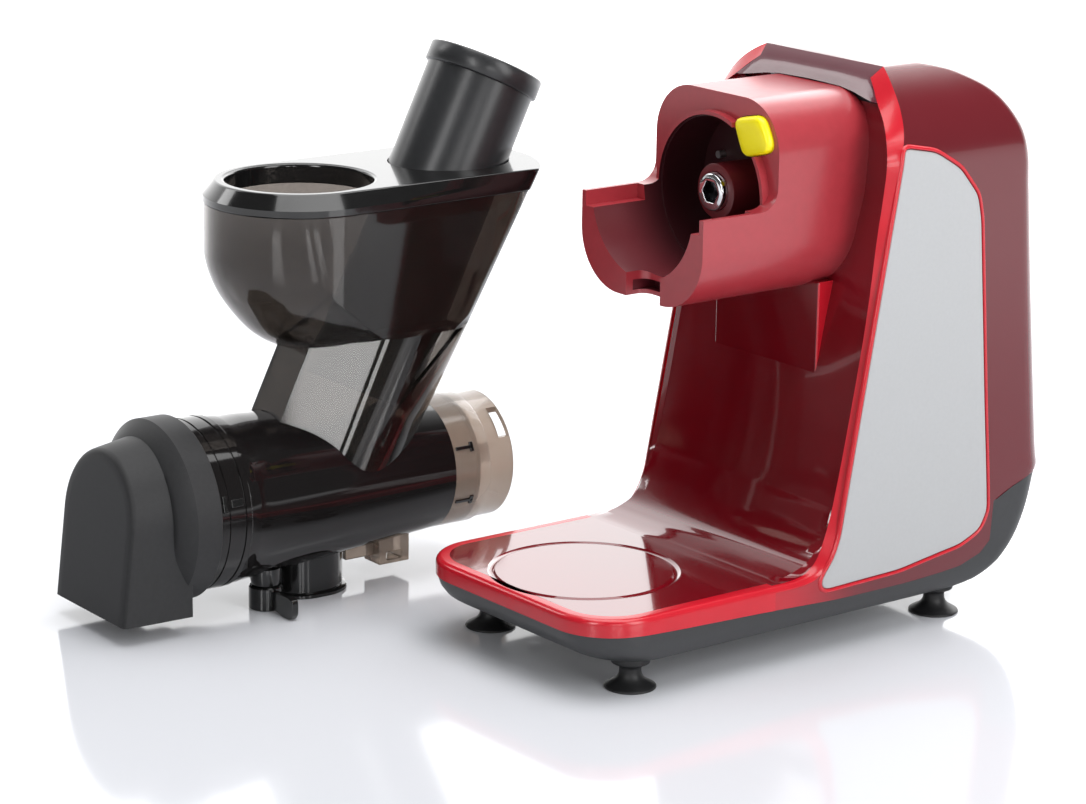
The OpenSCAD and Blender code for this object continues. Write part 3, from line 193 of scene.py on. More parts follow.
class Mesh:
    """Points, faces and each face's finish, in millimetres."""

    def __init__(self):
        self.points, self.faces, self.finish = [], [], []

    def add(self, points, faces, mat=0):
        first = len(self.points)
        self.points += [tuple(p) for p in points]
        self.faces += [tuple(first + i for i in face) for face in faces]
        self.finish += [mat] * len(faces)
        return self

    def loft(self, rings, closed=True, start=False, end=False, mat=0):
        """Skin over lines of one length; start and end put a face on the first and the last."""
        n, last = len(rings[0]), len(rings) - 1
        faces = []
        for i in range(last):
            for j in range(n if closed else n - 1):
                k = (j + 1) % n
                faces.append((i * n + j, i * n + k, (i + 1) * n + k, (i + 1) * n + j))
        if start:
            faces.append(tuple(range(n - 1, -1, -1)))
        if end:
            faces.append(tuple(last * n + j for j in range(n)))
        return self.add([p for ring in rings for p in ring], faces, mat)

    def solid(self, rings, mat=0):
        """Skin over closed lines with both ends shut."""
        return self.loft(rings, start=True, end=True, mat=mat)

    def sheet(self, rows, mat=0):
        """Skin over open lines."""
        return self.loft(rows, closed=False, mat=mat)

    def lathe(self, profile, n=96, axis="y", at=(0, 0, 0), mat=0):
        """Turned form; the profile holds (radius, place along the axis)."""
        rings = []
        for r, s in profile:
            ring = [PLACED[axis](p, s) for p in arc(0, 0, r, 0, 360, n)[:-1]]
            rings.append([tuple(c + shift for c, shift in zip(p, at)) for p in ring])
        return self.loft(rings, mat=mat)

    def prism(self, outline, low, high, axis="y", mat=0, cap_mat=None):
        """Outline drawn out along an axis; its two ends may have a finish of their own."""
        self.solid([[PLACED[axis](p, h) for p in outline] for h in (low, high)], mat)
        if cap_mat is not None:
            self.finish[-2:] = [cap_mat] * 2
        return self

    def box(self, low, high, mat=0):
        (x0, y0, z0), (x1, y1, z1) = low, high
        return self.prism([(x0, y0), (x1, y0), (x1, y1), (x0, y1)], z0, z1, "z", mat)


def rod(r, low, high, n=128, axis="y", at=(0, 0, 0), mat=0):
    """Plain round cutter."""
    return Mesh().lathe([(NEAR_AXIS, low), (r, low), (r, high), (NEAR_AXIS, high)], n, axis, at, mat)


def smooth(ob, sharp):
    """Shades an object smooth, but for edges sharper than so many degrees."""
    ob.data.polygons.foreach_set("use_smooth", [True] * len(ob.data.polygons))
    ob.data.set_sharp_from_angle(angle=math.radians(sharp))
    ob.data.update()


def build(name, mesh, finishes, to=unit, sharp=30):
    """Makes an object of a mesh, placed by to, in one finish or a list of them."""
    me = bpy.data.meshes.new(name)
    me.from_pydata([tuple(to(p)) for p in mesh.points], [], mesh.faces)
    for i, mat in enumerate(mesh.finish):
        me.polygons[i].material_index = mat
    for finish in ([finishes] if isinstance(finishes, str) else finishes):
        me.materials.append(M[finish])
    bm = bmesh.new()
    bm.from_mesh(me)
    bmesh.ops.remove_doubles(bm, verts=bm.verts, dist=MERGE)
    bmesh.ops.recalc_face_normals(bm, faces=bm.faces)
    bm.to_mesh(me)
    bm.free()
    ob = bpy.data.objects.new(name, me)
    bpy.context.scene.collection.objects.link(ob)
    smooth(ob, sharp)
    return ob


def bevel(ob, width, segments=3, angle=30):
    """Rounds the edges that are sharper than angle."""
    m = ob.modifiers.new("bevel", "BEVEL")
    m.width = width * MM
    m.segments = segments
    m.limit_method = "ANGLE"
    m.angle_limit = math.radians(angle)
    m.harden_normals = True
    m.miter_outer = "MITER_ARC"
    return ob


CUT, JOIN = "DIFFERENCE", "UNION"


def tool(name, mesh, to=head):
    """Hidden cutter; its faces numbered 1 leave the second finish of the cut piece."""
    ob = build(name, mesh, ["red_satin", "red_bore_painted_shade"], to=to)
    ob.hide_render = True
    ob.hide_viewport = True
    return ob


def carve(ob, steps, sharp=30):
    """Cuts and joins tools in their order, (CUT or JOIN, tool), applies them and removes them."""
    for operation, cutter in steps:
        m = ob.modifiers.new("cut", "BOOLEAN")
        m.operation = operation
        m.solver = "EXACT"
        m.object = cutter
    dg = bpy.context.evaluated_depsgraph_get()
    me = bpy.data.meshes.new_from_object(ob.evaluated_get(dg), preserve_all_data_layers=True, depsgraph=dg)
    ob.modifiers.clear()
    ob.data = me
    for _, cutter in steps:
        bpy.data.objects.remove(cutter, do_unlink=True)
    bm = bmesh.new()
    bm.from_mesh(me)
    bmesh.ops.remove_doubles(bm, verts=bm.verts, dist=CLEAN)
    bmesh.ops.dissolve_degenerate(bm, edges=bm.edges, dist=CLEAN)
    bm.to_mesh(me)
    bm.free()
    smooth(ob, sharp)
    return ob


def ride(ob, body, rep=()):
    """Puts a piece on its body and hides the CAD nodes that it stands for."""
    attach(ob, body)
    if rep:
        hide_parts(*rep)


# Finishes, all from nodes
PLASTIC_IOR = 1.49
GRAIN_FROM, GRAIN_TO = 0.3, 0.7
BUMP_SCALE, BUMP_DEPTH = 900, 0.0002
FADE_GRAIN = 0.12


def node(tree, kind, inputs=(), **settings):
    """Adds a shader node with its settings and the values of its inputs."""
    n = tree.nodes.new("ShaderNode" + kind)
    for key, value in settings.items():
        setattr(n, key, value)
    for key, value in dict(inputs).items():
        n.inputs[key].default_value = value
    return n


def wire(tree, *pairs):
    """Links outputs to inputs."""
    for source, target in pairs:
        tree.links.new(source, target)


def material(name, rgb, rough=0.35, var=0.05, scale=200, bump=0.0, metal=0.0, coat=0.0, spec=0.5, trans=0.0,
             rough_var=0.03, coat_rough=0.03):
    """Finish whose colour and roughness vary a little over a fine grain, with a bump where asked for."""
    m = bpy.data.materials.new(name)
    m.use_nodes = True
    t = m.node_tree
    shader = t.nodes["Principled BSDF"]
    place = node(t, "TexCoord")
    grain = node(t, "TexNoise", {"Scale": scale, "Detail": 3})
    ramp = node(t, "ValToRGB")
    for stop, position, share in zip(ramp.color_ramp.elements, (GRAIN_FROM, GRAIN_TO), (1 - var, 1 + var)):
        stop.position = position
        stop.color = (*(min(1, c * share) for c in rgb), 1)
    wear = node(t, "MapRange", {"To Min": max(0.0, rough - rough_var), "To Max": min(1.0, rough + rough_var)})
    wire(t, (place.outputs["Object"], grain.inputs["Vector"]),
         (grain.outputs["Fac"], ramp.inputs["Fac"]), (ramp.outputs["Color"], shader.inputs["Base Color"]),
         (grain.outputs["Fac"], wear.inputs["Value"]), (wear.outputs["Result"], shader.inputs["Roughness"]))
    for key, value in (("Metallic", metal), ("Coat Weight", coat), ("Coat Roughness", coat_rough),
                       ("Specular IOR Level", spec), ("Transmission Weight", trans), ("IOR", PLASTIC_IOR)):
        shader.inputs[key].default_value = value
    if bump:
        fine = node(t, "TexNoise", {"Scale": BUMP_SCALE, "Detail": 2})
        relief = node(t, "Bump", {"Strength": bump, "Distance": BUMP_DEPTH})
        wire(t, (place.outputs["Object"], fine.inputs["Vector"]),
             (fine.outputs["Fac"], relief.inputs["Height"]),
             (relief.outputs["Normal"], shader.inputs["Normal"]))
    return m


def fade(m, near, far, start, end):
    """Fades a finish from one colour to another along the object's depth, from start to end in metres, to
    paint shade.
    """
    t = m.node_tree
    colour = t.nodes["Principled BSDF"].inputs["Base Color"]
    grain = colour.links[0].from_socket
    place = node(t, "TexCoord")
    split = node(t, "SeparateXYZ")
    depth = node(t, "MapRange", {"From Min": start, "From Max": end}, interpolation_type="SMOOTHSTEP")
    ends = node(t, "Mix", data_type="RGBA")
    ends.inputs["A"].default_value = (*near, 1)
    ends.inputs["B"].default_value = (*far, 1)
    both = node(t, "Mix", {"Factor": FADE_GRAIN}, data_type="RGBA")
    wire(t, (place.outputs["Object"], split.inputs[0]), (split.outputs["Y"], depth.inputs["Value"]),
         (depth.outputs["Result"], ends.inputs["Factor"]), (ends.outputs["Result"], both.inputs["A"]),
         (grain, both.inputs["B"]), (both.outputs["Result"], colour))


FINISHES = {
    "red_gloss": dict(rgb=(0.55, 0.008, 0.020), rough=0.24, var=0.04, scale=60, coat=0.2),
    # the recessed wall, the strips' returns, the lip's underside, the deck's flat and groove and the bracket:
    # a darker red, painted shade
    "red_wall_painted_shade": dict(rgb=(0.17, 0.003, 0.008), rough=0.11, var=0.04, scale=60, coat=0.8),
    # the rear shell: a darker red, painted shade, faded to the front's red near the front
    "red_gloss_deep": dict(rgb=(0.12, 0.009, 0.014), rough=0.22, var=0.04, scale=60, coat=0.4),
    # the brow's facets: a dark red, painted shade
    "red_brow_painted_shade": dict(rgb=(0.10, 0.010, 0.022), rough=0.2, var=0.04, scale=60, coat=0.5),
    # the snout's bore, trough and catch: a darker red, painted shade
    "red_bore_painted_shade": dict(rgb=(0.06, 0.006, 0.009), rough=0.36),
    "panel_silver": dict(rgb=(0.42, 0.425, 0.43), rough=0.36, var=0.015, scale=500, spec=0.4),
    "charcoal": dict(rgb=(0.035, 0.036, 0.038), rough=0.45, var=0.06, scale=300, bump=0.15),
    "rubber_black": dict(rgb=(0.010, 0.010, 0.011), rough=0.5, var=0.1, bump=0.1),
    "steel": dict(rgb=(0.55, 0.55, 0.55), rough=0.3, scale=300, metal=1),
    "red_satin": dict(rgb=(0.35, 0.026, 0.036), rough=0.36, var=0.04, bump=0.05, coat=0.5,
                      coat_rough=0.2),
    "red_dark": dict(rgb=(0.13, 0.010, 0.014), bump=0.05),
    "yellow": dict(rgb=(1.0, 0.84, 0.001), rough=0.32, var=0.02, scale=150),
    "chrome": dict(rgb=(0.72, 0.72, 0.74), rough=0.09, var=0.02, metal=1, rough_var=0.02),
    "gear_plastic": dict(rgb=(0.72, 0.68, 0.55), rough=0.45, var=0.03),
    "plate_aluminium": dict(rgb=(0.45, 0.46, 0.48), rough=0.4, scale=300, metal=1, bump=0.1),
    "bush_brass": dict(rgb=(0.62, 0.44, 0.16), scale=300, metal=1),
    "stator_iron": dict(rgb=(0.25, 0.25, 0.27), rough=0.5, var=0.1, scale=300, metal=1),
    "rotor_iron": dict(rgb=(0.32, 0.24, 0.15), rough=0.5, var=0.1, scale=300, metal=1),
    "black_plastic": dict(rgb=(0.016, 0.016, 0.017), rough=0.4, var=0.08, scale=300, bump=0.1),
    "board_green": dict(rgb=(0.03, 0.12, 0.05), rough=0.4, var=0.15),
    "smoke_clear": dict(rgb=(0.148, 0.130, 0.116), rough=0.05, var=0.03, scale=30, trans=0.96,
                        rough_var=0.01),
    "smoke_drum": dict(rgb=(0.008, 0.007, 0.007), rough=0.08, scale=40, spec=0.45),
    "smoke_light": dict(rgb=(0.46, 0.37, 0.30), rough=0.14, var=0.03, scale=40, trans=0.6, rough_var=0.02),
    "black_gloss": dict(rgb=(0.007, 0.007, 0.007), rough=0.12, var=0.1, scale=60, coat=0.3),
    "seal_silicone": dict(rgb=(0.5, 0.47, 0.42), rough=0.5),
    "black_satin": dict(rgb=(0.032, 0.032, 0.033), rough=0.5, var=0.06, scale=400, bump=0.1, spec=0.2),
    "grey_satin": dict(rgb=(0.022, 0.0225, 0.024), rough=0.3, var=0.06, scale=300, bump=0.04),
}
M = {name: material(name, **look) for name, look in FINISHES.items()}
# Painted shade: the rear shell's red darkens from the front's red towards the back
fade(M["red_gloss_deep"], (0.52, 0.008, 0.02), (0.12, 0.009, 0.014), 0.030, 0.110)
# Painted shade in the snout's bore: its red darkens deeper in
fade(M["red_bore_painted_shade"], (0.12, 0.012, 0.018), (0.030, 0.004, 0.006), 0.015, 0.058)

# Motor unit: its outlines follow the CAD part's
HALF_W, TOP_Z = 87.0, 328.0
SIDE_LEAN, SHOULDER_Z, SHOULDER_R = 3, 275, 58
DECK_FRONT, DECK_END, DECK_Z, DECK_R = -157.0, -30.0, 47.5, 36.0
# Line between the tray and the shells above it, as (along, height)
SEAM = [(-157, 37.4), (-128, 37.4), (-100, 36.1), (-41, 34.1), (19, 31.3), (66, 31.0), (98, 32.5),
        (114, 33.8), (130, 38.7), (138, 45.3), (140, 68.9), (154, 75.1), (175, 82), (190, 86)]
# Outline of the back, seen from the side, from the top down, as (along, height)
BACK = spline([(99.9, 328), (112, 325.6), (125, 321.4), (143, 310.9), (156.5, 292.9), (163.5, 273.9),
               (166, 255.8), (173, 184), (183, 98.4), (185, 86), (184, 80), (179, 60.3), (170, 42.3),
               (154, 26.5), (138, 20), (105.5, 18)], 6)
BACK_BY_HEIGHT = [(z, y) for y, z in reversed(BACK)]
# Radius of the back's upright corners, by height
CORNER_R = [(18, 22), (30, 18), (100, 18), (180, 15), (256, 13), (280, 11), (300, 9), (315, 7), (328, 5)]
# Places along the sides with a column of points, close together where the seam steps up
BACK_COLUMNS = [100, 106, 110, 114, 120, 125, 130, 134, 137.9, 140.1, 144, 149, 154, 160]


def side_x(z):
    """Half width of the unit at a height: sides that lean in a little, and round shoulders."""
    if z < SHOULDER_Z:
        return HALF_W - SIDE_LEAN * z / SHOULDER_Z
    return HALF_W - SIDE_LEAN - SHOULDER_R + math.sqrt(max(0, SHOULDER_R ** 2 - (z - SHOULDER_Z) ** 2))


def seam(y):
    return interp(y, SEAM)


def back_y(z):
    return interp(z, BACK_BY_HEIGHT)


# Right strip beside the wall, brow to deck: its outer edge, its inner edge, the wall's edge behind it
OUTER_KEYS = [(49.7, 71.6, 327.9), (58, 68.3, 323.4), (66.4, 65.3, 316.8), (75, 62.8, 306),
              (81.2, 60.0, 292.8), (83.9, 55, 277), (84.2, 51.9, 256), (84.4, 48.6, 236), (85, 42, 186),
              (85.6, 30, 124), (86, 22.6, 90), (86.1, 19.7, 79), (86.3, 15.3, 65.5), (86.5, 9.6, 54.5),
              (86.7, 1.5, 46.9), (86.9, -8, 44.6), (87, -19, 44), (87, -30, 44)]
INNER_KEYS = [(47.2, 64.5, 321.6), (54, 61.2, 316), (60.6, 57.9, 309.8), (70.5, 53.8, 301),
              (77.5, 50.3, 290.2), (79.3, 49.6, 276), (79.6, 46.9, 256), (79.6, 43.8, 236), (80, 37, 186),
              (80.6, 25, 124), (81, 17.4, 90), (81.1, 14.6, 79), (81.3, 10.2, 66.5), (81.5, 5.0, 56),
              (82, -2.4, 50.1), (82.8, -10, 48.1), (83.5, -20, 47.5), (83.5, -30, 47.5)]
WALL_KEYS = [(46, 70, 319), (53, 66, 314), (59.5, 63, 308), (69, 61, 300), (76.5, 59.5, 289),
             (78.6, 59, 276), (78.8, 57.3, 257), (79, 52, 237), (79, 39.5, 186), (79, 27.3, 124),
             (79, 19.6, 90), (79, 16, 80), (79, 9.8, 66), (79, 1.3, 55.6), (79, -8, 51.3),
             (79, -16, 49.2), (79, -24, 47.8), (79, -30, 47.5)]
KEY_STEPS = 6
FLUSH_ABOVE = 60
outer_edge = [(side_x(z) if z > FLUSH_ABOVE else x, y, z) for x, y, z in spline(OUTER_KEYS, KEY_STEPS)]
inner_edge = spline(INNER_KEYS, KEY_STEPS)
wall_edge = spline(WALL_KEYS, KEY_STEPS)

# Rear shell: back, sides and top, in a darker red that is painted shade
SHELL_FOOT = (42, 40, 38, 36, 34.2, 32.6, 31.3)
TOP_MIDDLE, TOP_IN = 88, 0.12


def shell_row(front, z):
    """Level line from the right side's front, round the back, to the left's; it stays over the seam."""
    back, r, hw = back_y(z), interp(z, CORNER_R), side_x(z)
    turn = back - r
    points = [(None, lerp(front, min(BACK_COLUMNS[0], turn), i / 12)) for i in range(12)]
    points += [(None, min(y, turn)) for y in BACK_COLUMNS]
    points += arc(hw - r, turn, r, 0, 90, 9)
    points += [((hw - r) * (1 - i / 9), back) for i in range(1, 9)]
    right = []
    for x, y in points:
        up = max(z, seam(y))
        right.append((side_x(up) if x is None else x, min(y, back_y(up)) if up > z else y, up))
    right.append((0, back, max(z, seam(back))))
    return right + [mirror(p) for p in reversed(right[:-1])]


rows = [shell_row(y, z) for x, y, z in outer_edge] + [shell_row(DECK_END, z) for z in SHELL_FOOT]
top = [(lerp(x, 0, TOP_IN), lerp(y, TOP_MIDDLE, TOP_IN), TOP_Z) for x, y, z in rows[0]]
shell = Mesh().sheet([top] + rows)
shell.add(top, [tuple(range(len(top)))])
shell.add([rows[0][0], top[0], top[-1], rows[0][-1]], [(0, 1, 2, 3)])
ride(build("rear_shell", shell, "red_gloss_deep", sharp=26), "motor_unit", ["rear_housing"])

# Front moulding: strips and their returns, wall, brow and deck
# The wall, the strips' returns, the lip's underside and the deck's flat and groove take the darker red:
# painted shade
GLOSS, WALL_PAINTED_SHADE, BROW = 0, 1, 2
STRIP_N, RETURN_N, WALL_N, BROW_N = 6, 4, 24, 32
ROUND_BELOW, ROUND_OVER = 60, 14


def strip_row(outer, inner, wall):
    """Points over the strip, which is flat above and rounded near the deck, and back along its return."""
    outer, inner, wall = Vector(outer), Vector(inner), Vector(wall)
    roundness = max(0.0, min(1.0, (ROUND_BELOW - outer.z) / ROUND_OVER))
    row = []
    for k in range(STRIP_N + 1):
        c, s = math.cos(math.radians(90 * k / STRIP_N)), math.sin(math.radians(90 * k / STRIP_N))
        bowed = Vector((lerp(inner.x, outer.x, c), lerp(inner.y, outer.y, c), lerp(outer.z, inner.z, s)))
        row.append(outer.lerp(inner, k / STRIP_N).lerp(bowed, roundness))
    return row + [inner.lerp(wall, k / RETURN_N) for k in range(1, RETURN_N + 1)]


front = Mesh()
strip = [strip_row(*edges) for edges in zip(outer_edge, inner_edge, wall_edge)]
for side in (1, -1):
    rows = [[(side * p.x, p.y, p.z) for p in row] for row in strip]
    front.sheet([row[:STRIP_N + 1] for row in rows], GLOSS)
    front.sheet([row[STRIP_N:] for row in rows], WALL_PAINTED_SHADE)
front.sheet([[(x * (1 - 2 * k / WALL_N), y, z) for k in range(WALL_N + 1)]
             for x, y, z in wall_edge[2 * KEY_STEPS:]], WALL_PAINTED_SHADE)

# Right half of the brow's lower edge
LIP = [INNER_KEYS[2], (56.7, 57.2, 309.9), (47, 58.5, 311.4), (38.6, 59.6, 313.0), (26.4, 60.6, 314.4),
       (0, 60.8, 314.9)]
BROW_MIDDLE_HW, WALL_TOP, LIP_BACK, LIP_DOWN = 54, (59.5, 66.5, 307.5), 7, 0.6


def across(p):
    """Straight line from the left to the right through p."""
    return [(lerp(-p[0], p[0], i / BROW_N), p[1], p[2]) for i in range(BROW_N + 1)]


lip = [tuple(p) for p in resample([mirror(p) for p in LIP] + LIP[-2::-1], BROW_N + 1)]
crease = across(INNER_KEYS[0])
between = [Vector(a).lerp(Vector(b), 0.5) for a, b in zip(crease, lip)]
between = [(x, p.y, p.z) for (x, _, _), p in zip(across((BROW_MIDDLE_HW, 0, 0)), between)]
# The brow's facets take a dark red: painted shade
front.sheet([across(OUTER_KEYS[0]), crease], BROW)
front.sheet([crease, between, lip], BROW)
under = [(x, y + LIP_BACK, z - LIP_DOWN) for x, y, z in lip]
front.sheet([lip, under, across(WALL_TOP)], WALL_PAINTED_SHADE)

# Deck: rounded rim up to the flat top, and the ring groove, as (radius, height over the deck)
EDGE_R, FLAT_IN, FLAT_HW, LEAST_R = 3.5, 8, 79, 2.0
GROOVE = [(55.0, 0), (54.4, -0.5), (53.6, -1.0), (52.5, -1.2), (51.6, -1.0), (50.9, -0.4), (50.5, 0)]
GROOVE_Y, GROOVE_N = -98.5, 144


def deck_loop(inset, z):
    """Outline of the deck, moved in by inset, from the right side round the front to the left."""
    r, hw, tip = max(LEAST_R, DECK_R - inset), HALF_W - inset, DECK_FRONT + inset
    right = [(hw, lerp(DECK_END, tip + r, i / 10)) for i in range(10)]
    right += arc(hw - r, tip + r, r, 0, -90, 14)
    right += [(lerp(hw - r, 0, i / 6), tip) for i in range(1, 7)]
    right = [(x, y, max(z, seam(y))) for x, y in right]
    return right + [mirror(p) for p in reversed(right[:-1])]


rim = [(0, 30), (0, 40), (0, DECK_Z - EDGE_R)] + arc(EDGE_R, DECK_Z - EDGE_R, EDGE_R, 180, 90, 6)[1:]
flat = deck_loop(FLAT_IN, DECK_Z)
front.sheet([deck_loop(inset, z) for inset, z in rim] + [flat], GLOSS)
groove = [[(x, y, DECK_Z + h) for x, y in arc(0, GROOVE_Y, r, 0, 360, GROOVE_N)[:-1]] for r, h in GROOVE]
front.loft(groove, mat=WALL_PAINTED_SHADE)
front.add(groove[-1], [tuple(range(GROOVE_N))], WALL_PAINTED_SHADE)
border = [(x, y, DECK_Z) for x, y, z in flat]
border += [(lerp(-FLAT_HW, FLAT_HW, i / 30), DECK_END, DECK_Z) for i in range(1, 30)]
triangles = tessellate_polygon([[Vector(p) for p in border], [Vector(p) for p in groove[0]]])
front.add(border + groove[0], [tuple(t) for t in triangles], WALL_PAINTED_SHADE)
ride(build("front_shell", front, ["red_gloss", "red_wall_painted_shade", "red_brow_painted_shade"], sharp=24),
     "motor_unit", ["front_housing"])

# Tray: how far its side and its front draw in, by height, and how far it stays inside the shells
TRAY_SIDE = [(18, 8), (19.5, 5), (22, 3), (26, 1.4), (31, 0.4), (37, 0)]
TRAY_FRONT = [(18, 23), (20, 16), (23, 10), (26, 6), (31, 2), (35, 0.5), (37, 0)]
TRAY_LEVELS = (18, 18.6, 19.5, 20.6, 22, 24, 26, 28.5, 31, 33, 35, 37, 39, 42, 46, 52, 60, 66, 72, 78, 84, 88)
TRAY_INSIDE, TRAY_LEAST_R, TRAY_LAP = 1.07, 10.0, 0.3


def tray_loop(z):
    """Level line round the tray, cut off a little above the seam."""
    side_in, front_in = interp(z, TRAY_SIDE) + TRAY_INSIDE, interp(z, TRAY_FRONT) + TRAY_INSIDE
    hw, r, tip = HALF_W - side_in, max(TRAY_LEAST_R, DECK_R - side_in), DECK_FRONT + front_in
    back, back_r = back_y(z) - TRAY_INSIDE, interp(z, CORNER_R)
    turn = back - back_r
    columns = [lerp(tip + r, BACK_COLUMNS[0], i / 14) for i in range(1, 15)] + BACK_COLUMNS[1:]
    right = [(lerp(0, hw - r, i / 6), tip) for i in range(6)]
    right += arc(hw - r, tip + r, r, -90, 0, 12)
    right += [(hw, min(y, turn)) for y in columns]
    right += arc(hw - back_r, turn, back_r, 0, 90, 9)
    right += [((hw - back_r) * (1 - i / 8), back) for i in range(1, 9)]
    right = [(x, y, min(z, seam(y) + TRAY_LAP)) for x, y in right]
    return right + [mirror(p) for p in reversed(right[1:-1])]


tray = Mesh().loft([tray_loop(z) for z in TRAY_LEVELS], start=True)
ride(build("tray", tray, "charcoal", sharp=35), "motor_unit", ["base_tray"])

# Suction feet
FOOT = [(12.6, 0.4), (14.2, 0), (14.7, 0.5), (14.4, 1.3), (12.2, 2.6), (9.2, 4.4), (7.4, 6.2), (6.5, 8),
        (6.2, 10), (6.4, 12), (7.6, 13.4), (10.2, 14.4), (11, 15.4), (11, 19.4), (10.4, 19.8)]
FOOT_X, FOOT_Y = 64.4, 115.9
feet = Mesh()
for x in (-FOOT_X, FOOT_X):
    for y in (-FOOT_Y, FOOT_Y):
        feet.lathe(spline(FOOT, 3), 48, "z", (x, y, 0))
ride(build("suction_feet", feet, "rubber_black", sharp=40), "motor_unit", ["feet"])

# Side panels, each with a raised red bead round it; edges are (moved in, height over the side)
PANEL = [(59, 288), (83.1, 283.4), (103, 271.9), (117.7, 254.9), (121, 240.1), (129.5, 131.9), (133.8, 83),
         (135.1, 64), (128.9, 53.1), (113, 46.6), (96.9, 44.6), (64.9, 40), (26.5, 39), (7.4, 38.4),
         (3.3, 41), (4.6, 46.6), (12.6, 56.1), (17.4, 67.2)]
PLATE_EDGE = [(0.8, -1.4), (0.8, 0.15), (1.0, 0.5), (1.5, 0.65), (2.4, 0.7)]
BEAD_EDGE = [(0.3, -1.0), (0.25, 0.5), (0.0, 1.0), (-0.5, 1.25), (-1.1, 1.15), (-1.6, 0.7), (-2.0, 0.0),
             (-2.2, -0.8)]
SLICES, WIDE_FACE = range(42, 288, 5), 1e-5
panel_line = rounded(PANEL, 260, 3.0)


def panel_rings(edge, side):
    """Lines round the panel's outline, on the bowed side of the unit."""
    return [[(side * (side_x(z) + h), y, z) for y, z in offset(panel_line, d)] for d, h in edge]


def slice_levels(ob):
    """Splits the panel's one wide face at level lines, so that it follows the bowed side."""
    bm = bmesh.new()
    bm.from_mesh(ob.data)
    for z in SLICES:
        wide = [face for face in bm.faces if face.calc_area() > WIDE_FACE]
        geom = list({edge for face in wide for edge in face.edges}) + wide
        bmesh.ops.bisect_plane(bm, geom=geom, plane_co=(0, 0, z * MM), plane_no=(0, 0, 1))
    bm.to_mesh(ob.data)
    bm.free()
    smooth(ob, 40)


for name, side in (("right", 1), ("left", -1)):
    plate = build("panel_" + name, Mesh().loft(panel_rings(PLATE_EDGE, side), end=True), "panel_silver")
    slice_levels(plate)
    ride(plate, "motor_unit", ["side_panel_" + name])
    bead = Mesh().loft(panel_rings(BEAD_EDGE, side))
    ride(build("panel_bead_" + name, bead, "red_gloss", sharp=60), "motor_unit")

# Snout, with its heights taken from the drive's axis
# Faces so numbered take the darker red of the bore's painted shade
BORE_PAINTED_SHADE = 1
SNOUT_HW, SNOUT_UP, SNOUT_DOWN, SNOUT_HALF_LONG = 53.5, 57.5, 56.0, 62
TOP_R, LOW_R, ROUND_N = 30, 34, 20
RING_R, TROUGH_R, SOCKET_R, HUB_R, PIN_R = 46.5, 44.3, 43.5, 16.2, 2.4
NOTCH_X, NOTCH_HW, NOTCH_R, NOTCH_BACK = 0.05 * SNOUT_HW, 15, 6, -54
CATCH = ((-13, -57, -53.5), (3, -40, -47.5))
STEP = ((-50, -70, -10.5), (50, -24, 30))
PIN_AT = (-26, 0, 14.5)
BUTTON = [(17.7, 43.1), (18.7, 45.5), (37.5, 49.6), (42.3, 47.9), (49.2, 35.2), (48.2, 30.0), (30, 24.4),
          (26.2, 24.8), (21.9, 33.5)]
BUTTON_GAP = 0.4
button_line = rounded(BUTTON, 120, 3.2)
snout_line = (arc(SNOUT_HW - LOW_R, LOW_R - SNOUT_DOWN, LOW_R, -90, 0, ROUND_N)
              + arc(SNOUT_HW - TOP_R, SNOUT_UP - TOP_R, TOP_R, 0, 90, ROUND_N)
              + arc(TOP_R - SNOUT_HW, SNOUT_UP - TOP_R, TOP_R, 90, 180, ROUND_N)
              + arc(LOW_R - SNOUT_HW, LOW_R - SNOUT_DOWN, LOW_R, 180, 270, ROUND_N))
# What is cut away over the cradle, seen from the side
over_cradle = [(-70, 70), (-70, -1.8), (-20, -1.8)] + arc(-20, 10.2, 12, -90, 0, 8) + [(-8, 70)]
notch = ([(NOTCH_X - NOTCH_HW, -64), (NOTCH_X + NOTCH_HW, -64)]
         + arc(NOTCH_X + NOTCH_HW - NOTCH_R, NOTCH_BACK, NOTCH_R, 0, 90, 6)
         + arc(NOTCH_X - NOTCH_HW + NOTCH_R, NOTCH_BACK, NOTCH_R, 90, 180, 6))
snout_body = build("snout_body", Mesh().prism(snout_line, -SNOUT_HALF_LONG, SNOUT_HALF_LONG),
                   ["red_satin", "red_bore_painted_shade"], to=snout)
snout_steps = [
    (CUT, "t_cradle", Mesh().prism(over_cradle, -60, 60, "x")),
    (CUT, "t_step", Mesh().box(*STEP)),
    (JOIN, "t_ring", rod(RING_R, -7.5, -13.2)),
    (CUT, "t_trough", rod(TROUGH_R, -70, -11, mat=BORE_PAINTED_SHADE)),
    (CUT, "t_bore", rod(SOCKET_R, -30, 20, mat=BORE_PAINTED_SHADE)),
    (CUT, "t_hub", rod(HUB_R, 0, 70, 64)),
    (CUT, "t_pin", rod(PIN_R, 0, 40, 32, at=PIN_AT)),
    (CUT, "t_button", Mesh().prism(offset(button_line, -BUTTON_GAP), -40, 16)),
    (CUT, "t_notch", Mesh().prism(notch, -60, -20, "z")),
    (CUT, "t_catch", Mesh().box(*CATCH, BORE_PAINTED_SHADE)),
]
carve(snout_body, [(step, tool(name, mesh, to=snout)) for step, name, mesh in snout_steps], 32)
ride(bevel(snout_body, 1.2, 3, 32), "motor_unit", ["snout"])

# Bracket under the snout; all but its two ends across take the darker red, painted shade
BRACKET, BRACKET_HW = [(33, -110.5), (33, -50), (60, -50), (60, -110.5)], 44.6
bracket = Mesh().prism(BRACKET, -BRACKET_HW, BRACKET_HW, "x", cap_mat=1)
ride(bevel(build("bracket", bracket, ["red_wall_painted_shade", "red_gloss"], to=snout), 1.2),
     "motor_unit", ["snout_bracket"])

